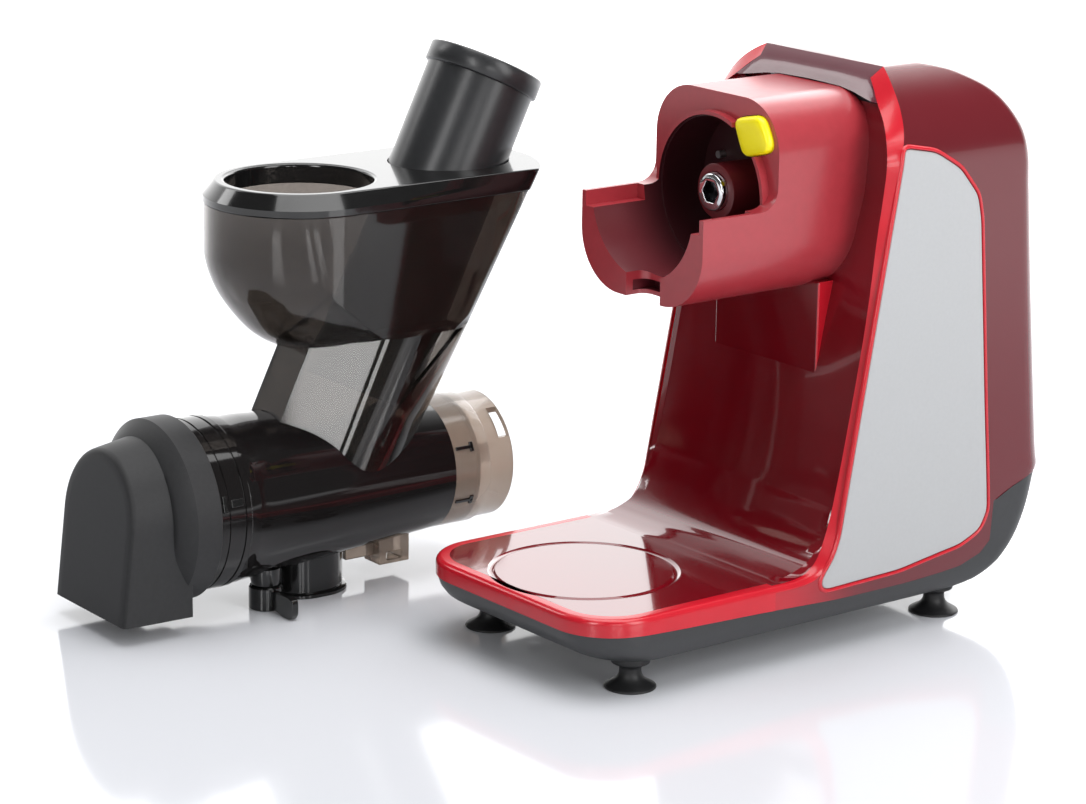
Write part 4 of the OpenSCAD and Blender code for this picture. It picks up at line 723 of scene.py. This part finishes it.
# Hub collar, and the coupler with its hexagonal hole
COLLAR = [(11, 27), (11, -7.2), (11.6, -8), (15.2, -8), (15.8, -7.7), (16, -7), (16, 27)]
COUPLER = [(NEAR_AXIS, -12), (9.6, -12), (10.5, -11.6), (10.9, -10.7), (10.9, 30), (NEAR_AXIS, 30)]
HEX_R = 6.93
ride(build("collar", Mesh().lathe(COLLAR), "red_dark", to=snout, sharp=35),
     "motor_unit", ["hub_collar"])
coupler = build("coupler", Mesh().lathe(COUPLER), "chrome", to=snout)
hexagon = tool("t_hex", Mesh().prism(arc(0, 0, HEX_R, 0, 300, 5), -20, 13), to=snout)
ride(bevel(carve(coupler, [(CUT, hexagon)]), 0.7, 3, 40), "output_drive", ["drive_coupler"])

# Release button, domed by ever smaller lines, as (share of the outline, place along)
BUTTON_DOME = [(1, 10), (1, -8), (0.99, -9.6), (0.96, -10.9), (0.91, -11.8), (0.83, -12.3), (0.6, -12.6),
               (0.3, -12.7)]
middle = [sum(values) / len(button_line) for values in zip(*button_line)]
button = Mesh().solid([[(lerp(middle[0], x, share), y, lerp(middle[1], z, share)) for x, z in button_line]
                       for share, y in BUTTON_DOME])
ride(build("button", button, "yellow", to=snout, sharp=50), "button", ["release_button"])

# Drum: dark for most of its length, clear at the mounting end
WALL = 2.6
SPOUT_AT, SPOUT_HALF, HOLE_R = 146, 4, 16.5
FLANGE = [(48.5, 53), (48.5, 58.8), (50.4, 58.8), (51, 59.4), (51, 63.8), (50.4, 64.1), (50.4, 64.9),
          (51, 65.2), (51, 74.4), (50.3, 74.7), (50.3, 75.7), (51, 76), (51, 79.4), (50.6, 80), (50, 80.2),
          (50, 86.4)]
TAPER = [(49.7, 87.4), (40.3, 229.4)]
DRUM_INSIDE = [(37.0, 229.4), (46.0, 86.4), (46.0, 53), (48.5, 53)]
NECK = [(40.3, 229.5), (40.3, 244.5), (37.0, 244.5), (37.0, 229.5), (40.3, 229.5)]
CLEAR_END = [(40.3, 244.6), (40.3, 254.4), (40.0, 255), (38.9, 255.2), (38.8, 255.6), (38.8, 272.4),
             (38.3, 273), (36.5, 273), (36.0, 272.4), (36.0, 249), (11.0, 249), (11.0, 246.2), (37.3, 246.2),
             (37.3, 244.6), (40.3, 244.6)]
END_SLOT = ((20, 264.5, 18), (60, 272, 36))

# Chute across its axis: flat towards the hood, round behind; CHUTE_HOLE is its reach through the drum
CHUTE_HOLE = (24.2, 110)
CHUTE_R, CHUTE_FLAT, CHUTE_FRONT = 42.5, 16.0, 55.0
corner_turn = math.atan2(CHUTE_FRONT, CHUTE_FLAT)
tangent = math.degrees(corner_turn - math.acos(CHUTE_R / math.hypot(CHUTE_FLAT, CHUTE_FRONT)))
chute_line = [(CHUTE_FLAT, CHUTE_FRONT), (-CHUTE_FLAT, CHUTE_FRONT)]
chute_line += arc(0, 0, CHUTE_R, 180 - tangent, 360 + tangent, 56)
chute_inside = offset(chute_line, WALL)


def chute_tool(name, line, low, high):
    """Cutter with the chute's outline, from low to high up its axis."""
    return tool(name, Mesh().solid([[(x, y, t) for x, y in line] for t in (low, high)]), to=chute)


taper = [tuple(lerp(a, b, i / 12) for a, b in zip(*TAPER)) for i in range(13)]
drum = build("drum_dark", Mesh().lathe(FLANGE + taper + DRUM_INSIDE, 128), "smoke_drum", to=head)
spout_hole = arc(0, SPOUT_AT + SPOUT_HALF, HOLE_R, 15, 180, 11)
spout_hole += arc(0, SPOUT_AT - SPOUT_HALF, HOLE_R, 195, 360, 11)
carve(drum, [(CUT, tool("t_spout", Mesh().prism(spout_hole, -80, -20, "z"))),
             (CUT, chute_tool("t_chute", chute_inside, *CHUTE_HOLE))])
ride(drum, "head", ["drum"])
ride(build("drum_neck", Mesh().lathe(NECK, 128), "smoke_light", to=head), "head")
clear_end = build("drum_clear", Mesh().lathe(CLEAR_END, 128), "smoke_light", to=head)
ride(carve(clear_end, [(CUT, tool("t_slot", Mesh().box(*END_SLOT)))]), "head")

# Bayonet stops on the flange and lugs on the clear neck, of bars (two radii, from, to, half width)
FLANGE_STOP = [(49.5, 51.9, 66, 74, 2.2), (49.5, 51.9, 60.5, 63, 5)]
NECK_LUG = [(39.5, 41.3, 231, 243.5, 1.1), (39.5, 41.3, 241, 243.5, 3)]
for name, parts, turns in (("flange_stop", FLANGE_STOP, (14, 134, 254)),
                           ("neck_lug", NECK_LUG, (24, -24, 156, 204))):
    for i, turn in enumerate(turns):
        stop = Mesh()
        for r0, r1, start, end, half in parts:
            stop.box((r0, start, -half), (r1, end, half))
        piece = build(f"{name}_{i + 1}", stop, "black_gloss", to=turned(turn))
        ride(bevel(piece, 0.4, 2), "head")

# Hopper: cup and chute in one, with a back that leans a little more than the chute
CUP_R, CUP_AT, RIM_Z = 56.0, 144.0, 172.5
BACK_HW, BACK_AT, BACK_BOW, FILLET_R = 51.0, 272.0, 21.0, 7.0
# The back's slope, its cosine, and what a millimetre of its leaning wall takes up along the head
BACK_LEAN, BACK_COS, BACK_THICK = math.tan(math.radians(30)), 0.866, 1.15
BACK_N, SIDE_N = 40, 12
# The bowed back is an arc of bow_r about bow_at, with a fillet at each corner
bow_r = (BACK_HW ** 2 + BACK_BOW ** 2) / 2 / BACK_BOW
bow_at = BACK_AT + BACK_BOW - bow_r
fillet_x = BACK_HW + 0.4 - FILLET_R
fillet_at = bow_at + math.sqrt((bow_r - FILLET_R) ** 2 - fillet_x ** 2)
fillet_from = bow_r * fillet_x / (bow_r - FILLET_R)
# Underside of the cup seen from its side, in shares of its size
UNDERSIDE = [(-1, -0.19), (-0.95, -0.29), (-0.82, -0.405), (-0.55, -0.54), (-0.25, -0.612), (0.05, -0.627),
             (0.95, -0.55)]
UNDER_R, UNDER_H = CUP_R + 0.5, 2.5 * CUP_R
underside = spline([(CUP_AT + a * UNDER_R, RIM_Z + b * UNDER_H) for a, b in UNDERSIDE], 8)
FAN_N, FLOOR_N, WALL_ROWS = 60, 20, 8


def back_at(x):
    """How far back the rim runs at x across."""
    x = abs(x)
    if x <= fillet_from:
        return bow_at + math.sqrt(bow_r ** 2 - x * x)
    return fillet_at + math.sqrt(max(0.0, FILLET_R ** 2 - (x - fillet_x) ** 2))


def back_line(hw, shift):
    """Line of the back from right to left, hw to each side, moved along by shift."""
    turns = [math.cos(math.pi * j / BACK_N) for j in range(BACK_N + 1)]
    return [(hw * c, back_at(BACK_HW * c) + shift) for c in turns]


def hopper_plan(r, hw, shift):
    """Closed line as (across, along): an arc of radius r in front, straight sides, and the back."""
    corner = back_at(BACK_HW) + shift
    side = [(lerp(r, hw, j / SIDE_N), lerp(CUP_AT, corner, j / SIDE_N)) for j in range(1, SIDE_N)]
    line = arc(0, CUP_AT, r, 180, 360, 64) + side + back_line(hw, shift)
    return line + [(-x, y) for x, y in reversed(side)]


def cup_heights(x, y, line, d):
    """Heights of the cup's round floor and of its leaning back at a place of the plan, for a wall d thick."""
    turns = [math.radians(degrees) for degrees in range(-54, 55, 9)]
    low = [interp(CUP_AT + x * math.sin(a) + (y - CUP_AT) * math.cos(a), line) for a in turns]
    return max(low), RIM_Z - (back_at(x) - d / BACK_COS - y) / BACK_LEAN


def spot(p, k):
    """Place at share k of the way from the cup's middle to a point of its plan."""
    return k * p[0], lerp(CUP_AT, p[1], k)


def crossing(p, line, d):
    """Share of the way out to p at which the leaning back rises over the round floor."""
    heights = [cup_heights(*spot(p, j / FAN_N), line, d) for j in range(FAN_N + 1)]
    over = [back_z - floor_z for floor_z, back_z in heights]
    for j in range(1, FAN_N + 1):
        if over[j] > 0 >= over[j - 1]:
            return (j - 1 + over[j - 1] / (over[j - 1] - over[j])) / FAN_N
    return 1.0


def cup_mesh(d, top):
    """The cup as a solid, drawn in by d: its floor as a fan over the plan, its wall, and a flat top."""
    line = offset(underside, d, closed=False) if d else underside
    rings = [[] for _ in range(FLOOR_N + WALL_ROWS + 2)]
    for p in hopper_plan(CUP_R - d, BACK_HW - d, -BACK_THICK * d):
        bend = crossing(p, line, d)
        shares = [bend * math.sin(math.pi / 2 * j / FLOOR_N) for j in range(FLOOR_N + 1)]
        shares += [lerp(bend, 1, j / WALL_ROWS) for j in range(1, WALL_ROWS + 1)]
        for ring, k in zip(rings, shares):
            x, y = spot(p, k)
            ring.append((x, y, min(RIM_Z, max(cup_heights(x, y, line, d)))))
        rings[-1].append((*p, top))
    return Mesh().loft(rings, end=True)


def back_fill(name, d, top, foot):
    """Hull from the cup's leaning back, at height top, to the chute's rear half, at foot up its axis."""
    shift = -BACK_THICK * d - (RIM_Z - top) * BACK_LEAN
    points = [(x, y, top) for x, y in back_line(BACK_HW - d, shift)]
    points += [along((x, y, foot)) for x, y in arc(0, 0, CHUTE_R - d, 180, 360, 40)]
    ob = tool(name, Mesh().add(points, []))
    bm = bmesh.new()
    bm.from_mesh(ob.data)
    bmesh.ops.convex_hull(bm, input=bm.verts)
    bm.to_mesh(ob.data)
    bm.free()
    return ob


# Reach of the chute's outside and inside up its axis; top and foot of the fills; the cup's open top
CHUTE_OUT, CHUTE_IN, FILL, FILL_IN, CUP_OPEN = (12, 150), (-5, 230), (97.5, 52), (106, 58), 176
CLIP = ((-90, 60, RIM_Z), (90, 330, 300))
DRUM_ROOM = [(NEAR_AXIS, 40), (49.95, 40), (49.95, 87.4), (40.5, 229.4), (40.5, 280), (NEAR_AXIS, 280)]
cup = build("hopper_cup", cup_mesh(0, RIM_Z), "smoke_clear", to=head)
carve(cup, [(JOIN, chute_tool("t_chute_out", chute_line, *CHUTE_OUT)),
            (JOIN, back_fill("t_fill", 0, *FILL)),
            (CUT, tool("t_cup_in", cup_mesh(WALL, CUP_OPEN))),
            (CUT, chute_tool("t_chute_in", chute_inside, *CHUTE_IN)),
            (CUT, back_fill("t_fill_in", WALL, *FILL_IN)),
            (CUT, tool("t_clip", Mesh().box(*CLIP))),
            (CUT, tool("t_drum", Mesh().lathe(DRUM_ROOM)))])
ride(cup, "head", ["hopper"])

# Lid: a band, a sloping edge, a feed opening with its skirt and a hole for the pusher
LID_FOOT, LID_BAND, LID_TOP, LID_SLOPE_IN, LID_OVER = 172.7, 177.0, 185.5, 7.0, 0.6
FEED_AT, FEED_R, SKIRT_R, SKIRT_FOOT, PUSHER_HOLE_R = (0, CUP_AT, 0), 43.5, 46.1, 173.5, 33.7
FEED = [(NEAR_AXIS, 100), (FEED_R, 100), (FEED_R, 184.3), (FEED_R + 2, 186), (FEED_R + 2, 200),
        (NEAR_AXIS, 200)]
LID_LEVELS = (LID_FOOT, LID_BAND, 180, 183, LID_TOP)
HOLLOW_LEVELS = (171, LID_BAND, 180, LID_TOP - WALL)


def lid_ring(z, d):
    """Outline of the lid at a height, moved in by d: its edge slopes in round the cup, its back leans out."""
    slope = LID_SLOPE_IN * max(0.0, z - LID_BAND) / (LID_TOP - LID_BAND)
    shift = (z - RIM_Z) * BACK_LEAN + LID_OVER - BACK_THICK * d
    return [(x, y, z) for x, y in hopper_plan(CUP_R + LID_OVER - d - slope, BACK_HW + LID_OVER - d, shift)]


lid = build("lid_body", Mesh().solid([lid_ring(z, 0) for z in LID_LEVELS]), "black_gloss", to=head)
carve(lid, [(CUT, tool("t_lid_in", Mesh().solid([lid_ring(z, WALL) for z in HOLLOW_LEVELS]))),
            (JOIN, tool("t_skirt", rod(SKIRT_R, SKIRT_FOOT, 184, axis="z", at=FEED_AT))),
            (CUT, tool("t_feed", Mesh().lathe(FEED, 128, "z", FEED_AT))),
            (CUT, tool("t_push", rod(PUSHER_HOLE_R, 120, 275, 96, "z"), to=chute))])
ride(bevel(lid, 1.6, 4, 40), "lid", ["hopper_lid"])

# Pusher and its rim, along the chute's axis
PUSHER = [(0, 57), (32.3, 57), (33.3, 58), (33.3, 258), (0, 258)]
PUSHER_RIM = [(33.0, 257.4), (34.6, 257.8), (35.3, 258.6), (35.3, 268.8), (34.7, 269.7), (33.8, 270),
              (33.0, 269.6), (32.7, 268.6), (32.3, 262), (31, 261), (0, 261)]
ride(build("pusher", Mesh().lathe(PUSHER, 128, "z"), "grey_satin", to=chute, sharp=35),
     "pusher", ["pusher_body"])
ride(build("pusher_rim", Mesh().lathe(PUSHER_RIM, 128, "z"), "grey_satin", to=chute, sharp=50),
     "pusher", ["pusher_cap"])

# Juice spout: an oblong tube with a rim, as (half width, height)
SPOUT = [(22.6, -65.0), (22.6, -63.2), (22, -62.6), (20, -62.4), (20, -39.5), (17.4, -39.5), (17.4, -65.0),
         (22.6, -65.0)]


def oblong(r):
    """Oblong line about the spout's middle, as (across, along)."""
    return arc(0, SPOUT_AT + SPOUT_HALF, r, 0, 180, 16) + arc(0, SPOUT_AT - SPOUT_HALF, r, 180, 360, 16)


spout = Mesh().loft([[(x, y, z) for x, y in oblong(r)] for r, z in SPOUT])
ride(build("spout", spout, "black_gloss", to=head, sharp=40), "head", ["juice_spout"])

# Locking lug and its rib
LUG = ((-8.5, 195, -58), (8.5, 217, -36))
LUG_HOLE = ((-20, 200.5, -55.5), (20, 211.5, -50.5))
LUG_RIB = ((-2, 175, -53), (2, 208, -30))
lug = build("lug", Mesh().box(*LUG), "smoke_light", to=head)
carve(lug, [(CUT, tool("t_lug", Mesh().box(*LUG_HOLE)))])
ride(bevel(lug, 0.8), "head", ["locking_lug"])
ride(bevel(build("lug_rib", Mesh().box(*LUG_RIB), "smoke_light", to=head), 0.6), "head")

# Valve: the boss on the drum, and the lever with its paddle
VALVE_AT = (20, 107, 0)
BOSS = [(0, -57.6), (5, -57.6), (5, -52), (8.4, -50.2), (9.2, -47), (9.2, -40), (0, -40)]
KNOB = [(0, -65.1), (9.2, -65.1), (10, -64.4), (10, -51.6), (9.2, -50.8), (5.2, -50.6), (5.1, -57.6),
        (0, -57.6)]
PADDLE = [(22, -53), (47, -51.2), (52.8, -52.4), (53, -61), (50, -65), (42, -65), (22, -61)]
PADDLE_HALF = 2.2
ride(build("valve_pin", Mesh().lathe(BOSS, 48, "z", VALVE_AT), "black_gloss", to=head),
     "head", ["valve_boss"])
lever = Mesh().lathe(KNOB, 64, "z", VALVE_AT)
lever.prism(rounded(PADDLE, 80, 1.5), VALVE_AT[1] - PADDLE_HALF, VALVE_AT[1] + PADDLE_HALF)
ride(bevel(build("lever", lever, "black_gloss", to=head, sharp=35), 0.5, 2, 50), "valve",
     ["valve_lever"])

# End cap with its hood
HOOD_LEAN = math.tan(math.radians(6.6))
HOOD_FOOT, HOOD_N = 53.6, 48
HOOD_FRONT, HOOD_BACK = (40.6, 41.5), (42, 47)
# The front's rounding, as (moved in, set back)
HOOD_EDGE = [(8, 0), (3.2, 0.1), (1.6, 0.6), (0.5, 1.6), (0, 3.2)]
CAP_RING = [(NEAR_AXIS, 33), (43, 33), (45.6, 34.2), (53.4, 40.8), (54.2, 41.8), (54.2, 57.6), (53.6, 58.2),
            (NEAR_AXIS, 58.2)]


def arch(hw, up, foot):
    """An arch over straight feet, as (across, up)."""
    turns = [math.pi * i / HOOD_N for i in range(HOOD_N + 1)]
    return [(hw, -foot)] + [(hw * math.cos(a), up * math.sin(a)) for a in turns] + [(-hw, -foot)]


def hood_front(d, deep, foot=HOOD_FOOT):
    """The leaning front's outline moved in by d and set back by deep."""
    hw, up = HOOD_FRONT
    return [(x, max(0, z + HOOD_FOOT) * HOOD_LEAN + deep, z) for x, z in arch(hw - d, up - d, foot)]


def hood_back(d, at, foot=HOOD_FOOT):
    """The hood's upright outline at its back, moved in by d."""
    hw, up = HOOD_BACK
    return [(x, at, z) for x, z in arch(hw - d, up - d, foot)]


hood = build("hood", Mesh().solid([hood_front(d, deep) for d, deep in HOOD_EDGE] + [hood_back(0, 44.5)]),
             "black_satin", to=head)
hollow = Mesh().solid([hood_front(WALL, 2.8, HOOD_FOOT + 2), hood_back(WALL, 44, HOOD_FOOT + 2)])
carve(hood, [(CUT, tool("t_hood_in", hollow)), (JOIN, tool("t_cap", Mesh().lathe(CAP_RING, 128))),
             (CUT, tool("t_cap_in", rod(48.9, 47, 70))), (CUT, tool("t_nose", rod(6.1, 30, 60, 48)))])
ride(bevel(hood, 0.9, 3, 35), "cap", ["end_cap"])

# CAD nodes that show, by finish
SHOWN = {
    "steel": ["tray_screws", "interlock_pin", "output_shaft", "output_bearings", "gearbox_screws",
              "idler_axle", "rotor_bearings", "juice_screen", "auger_shaft"],
    "gear_plastic": ["output_gear", "idler_gear"],
    "plate_aluminium": ["gearbox_front_plate", "gearbox_rear_plate", "gearbox_spacers", "motor_frame"],
    "bush_brass": ["idler_bushes", "motor_pinion"],
    "stator_iron": ["motor_stator"],
    "rotor_iron": ["motor_rotor"],
    "black_plastic": ["motor_fan", "switch_bezel", "switch_rocker"],
    "board_green": ["control_board"],
    "rubber_black": ["cord_gland"],
    "seal_silicone": ["shaft_seal", "cap_seal"],
    "black_gloss": ["auger"],
}
for finish, names in SHOWN.items():
    for name in names:
        NODE[name].data.materials.clear()
        NODE[name].data.materials.append(M[finish])
for name in ("switch_bezel", "cord_gland"):
    bevel(NODE[name], 0.5, 2, 40)

# Floor: pale and glossy near the object, white far off
FLOOR_HALF = 6
FADE_TO_WHITE = {"From Min": 0.6, "From Max": 1.6, "To Min": 0.03, "To Max": 0.95}
floor_white = material("floor_white", (0.67, 0.68, 0.715), 0.09, 0.005, 3, spec=0.7)
tree = floor_white.node_tree
shader = tree.nodes["Principled BSDF"]
shader.inputs["Emission Color"].default_value = (1, 1, 1, 1)
place = node(tree, "TexCoord")
distance = node(tree, "VectorMath", operation="LENGTH")
glow = node(tree, "MapRange", FADE_TO_WHITE, interpolation_type="SMOOTHSTEP")
wire(tree, (place.outputs["Object"], distance.inputs[0]), (distance.outputs["Value"], glow.inputs["Value"]),
     (glow.outputs["Result"], shader.inputs["Emission Strength"]))
floor_mesh = bpy.data.meshes.new("floor")
floor_mesh.from_pydata([(x * FLOOR_HALF, y * FLOOR_HALF, 0) for x, y in ((-1, -1), (1, -1), (1, 1), (-1, 1))],
                       [], [(0, 1, 2, 3)])
floor_mesh.materials.append(floor_white)
floor = bpy.data.objects.new("floor", floor_mesh)
bpy.context.scene.collection.objects.link(floor)

# World: one background for each kind of ray
world = bpy.data.worlds.new("studio")
bpy.context.scene.world = world
world.use_nodes = True
tree = world.node_tree
tree.nodes.clear()
world_output = node(tree, "OutputWorld")
ray = node(tree, "LightPath")


def backdrop(rgb, strength):
    return node(tree, "Background", {"Color": (*rgb, 1), "Strength": strength})


def by_ray(kind, other, shown):
    """Shows one background to a kind of ray and leaves the other to the rest."""
    mix = node(tree, "MixShader")
    wire(tree, (ray.outputs[kind], mix.inputs[0]), (other.outputs[0], mix.inputs[1]),
         (shown.outputs[0], mix.inputs[2]))
    return mix


def one_sided(rgb, towards, span, dim, bright):
    """A background that brightens towards one direction."""
    sky = node(tree, "TexCoord")
    facing = node(tree, "VectorMath", {1: towards}, operation="DOT_PRODUCT")
    ramp = node(tree, "MapRange", {"From Min": span[0], "From Max": span[1], "To Min": dim, "To Max": bright},
                interpolation_type="SMOOTHSTEP")
    shown = backdrop(rgb, 1.0)
    wire(tree, (sky.outputs["Generated"], facing.inputs[0]), (facing.outputs["Value"], ramp.inputs["Value"]),
         (ramp.outputs["Result"], shown.inputs["Strength"]))
    return shown


# Mirrored surroundings are bright behind the object and dim on the camera's side
WHITE = (1, 1, 1)
mirrored = one_sided(WHITE, (-0.789, 0.614, 0), (0.15, 0.85), 0.1, 2.2)
soft = one_sided((0.92, 0.93, 0.95), (0.37, 0.9, 0.15), (-1, 1), 0.24, 0.88)
last = by_ray("Is Glossy Ray", soft, mirrored)
last = by_ray("Is Transmission Ray", last, backdrop(WHITE, 1.0))
last = by_ray("Is Camera Ray", last, backdrop(WHITE, 1.05))
wire(tree, (last.outputs[0], world_output.inputs[0]))

# Lamps: (name, place, width, height, watts, whether it lights more than gloss)
LAMPS = [
    ("top", (0.1, 0.1, 1.7), 1.5, 1.5, 26, True),
    ("front_left", (-1.5, -0.85, 1.3), 0.4, 0.9, 5, False),
    ("key_gloss", (0.9, -1.9, 0.9), 0.4, 1.2, 10, False),
    ("right_gloss", (1.72, -0.98, 0.52), 0.16, 0.5, 1.9, False),
    ("side_gloss", (1.72, -0.62, 0.5), 0.2, 0.5, 2.2, False),
    ("key", (1.0, -1.8, 1.2), 0.5, 1.4, 3, True),
    ("right", (1.9, 0.3, 0.9), 0.8, 1.5, 19, True),
    ("back", (-0.6, 1.6, 1.0), 1.2, 1.2, 12, True),
]
AIM = Vector((0, 0, 0.15))
for name, at, width, height, watts, lights_all in LAMPS:
    light = bpy.data.lights.new(name, "AREA")
    light.shape = "RECTANGLE"
    light.size = width
    light.size_y = height
    light.energy = watts
    lamp = bpy.data.objects.new(name, light)
    lamp.location = at
    lamp.rotation_mode = "QUATERNION"
    lamp.rotation_quaternion = (AIM - Vector(at)).to_track_quat("-Z", "Y")
    lamp.visible_diffuse = lights_all
    bpy.context.scene.collection.objects.link(lamp)

# Camera, solved from the motor unit's lines: its place in millimetres, its angles in radians
CAMERA_AT = (1483.1677, -1285.4686, 653.3041)
AZIMUTH, DOWN, ROLL = 0.90888, 0.26101, 0.015025
FOCAL_PIXELS, PHOTO_WIDTH, SENSOR = 3505.9445, 1086.0, 36.0
camera = bpy.data.cameras.new("camera")
camera.sensor_fit = "HORIZONTAL"
camera.sensor_width = SENSOR
camera.lens = FOCAL_PIXELS * SENSOR / PHOTO_WIDTH
camera.clip_start = 0.05
camera.clip_end = 50
forward = Vector((-math.sin(AZIMUTH) * math.cos(DOWN), math.cos(AZIMUTH) * math.cos(DOWN), -math.sin(DOWN)))
level = Vector((math.cos(AZIMUTH), math.sin(AZIMUTH), 0))
upright = level.cross(forward)
right = math.cos(ROLL) * level + math.sin(ROLL) * upright
up = -math.sin(ROLL) * level + math.cos(ROLL) * upright
eye = bpy.data.objects.new("camera", camera)
eye.matrix_world = Matrix((right, up, -forward)).transposed().to_4x4()
eye.location = unit(CAMERA_AT)
bpy.context.scene.collection.objects.link(eye)
bpy.context.scene.camera = eye
bpy.context.scene.view_settings.view_transform = "Standard"
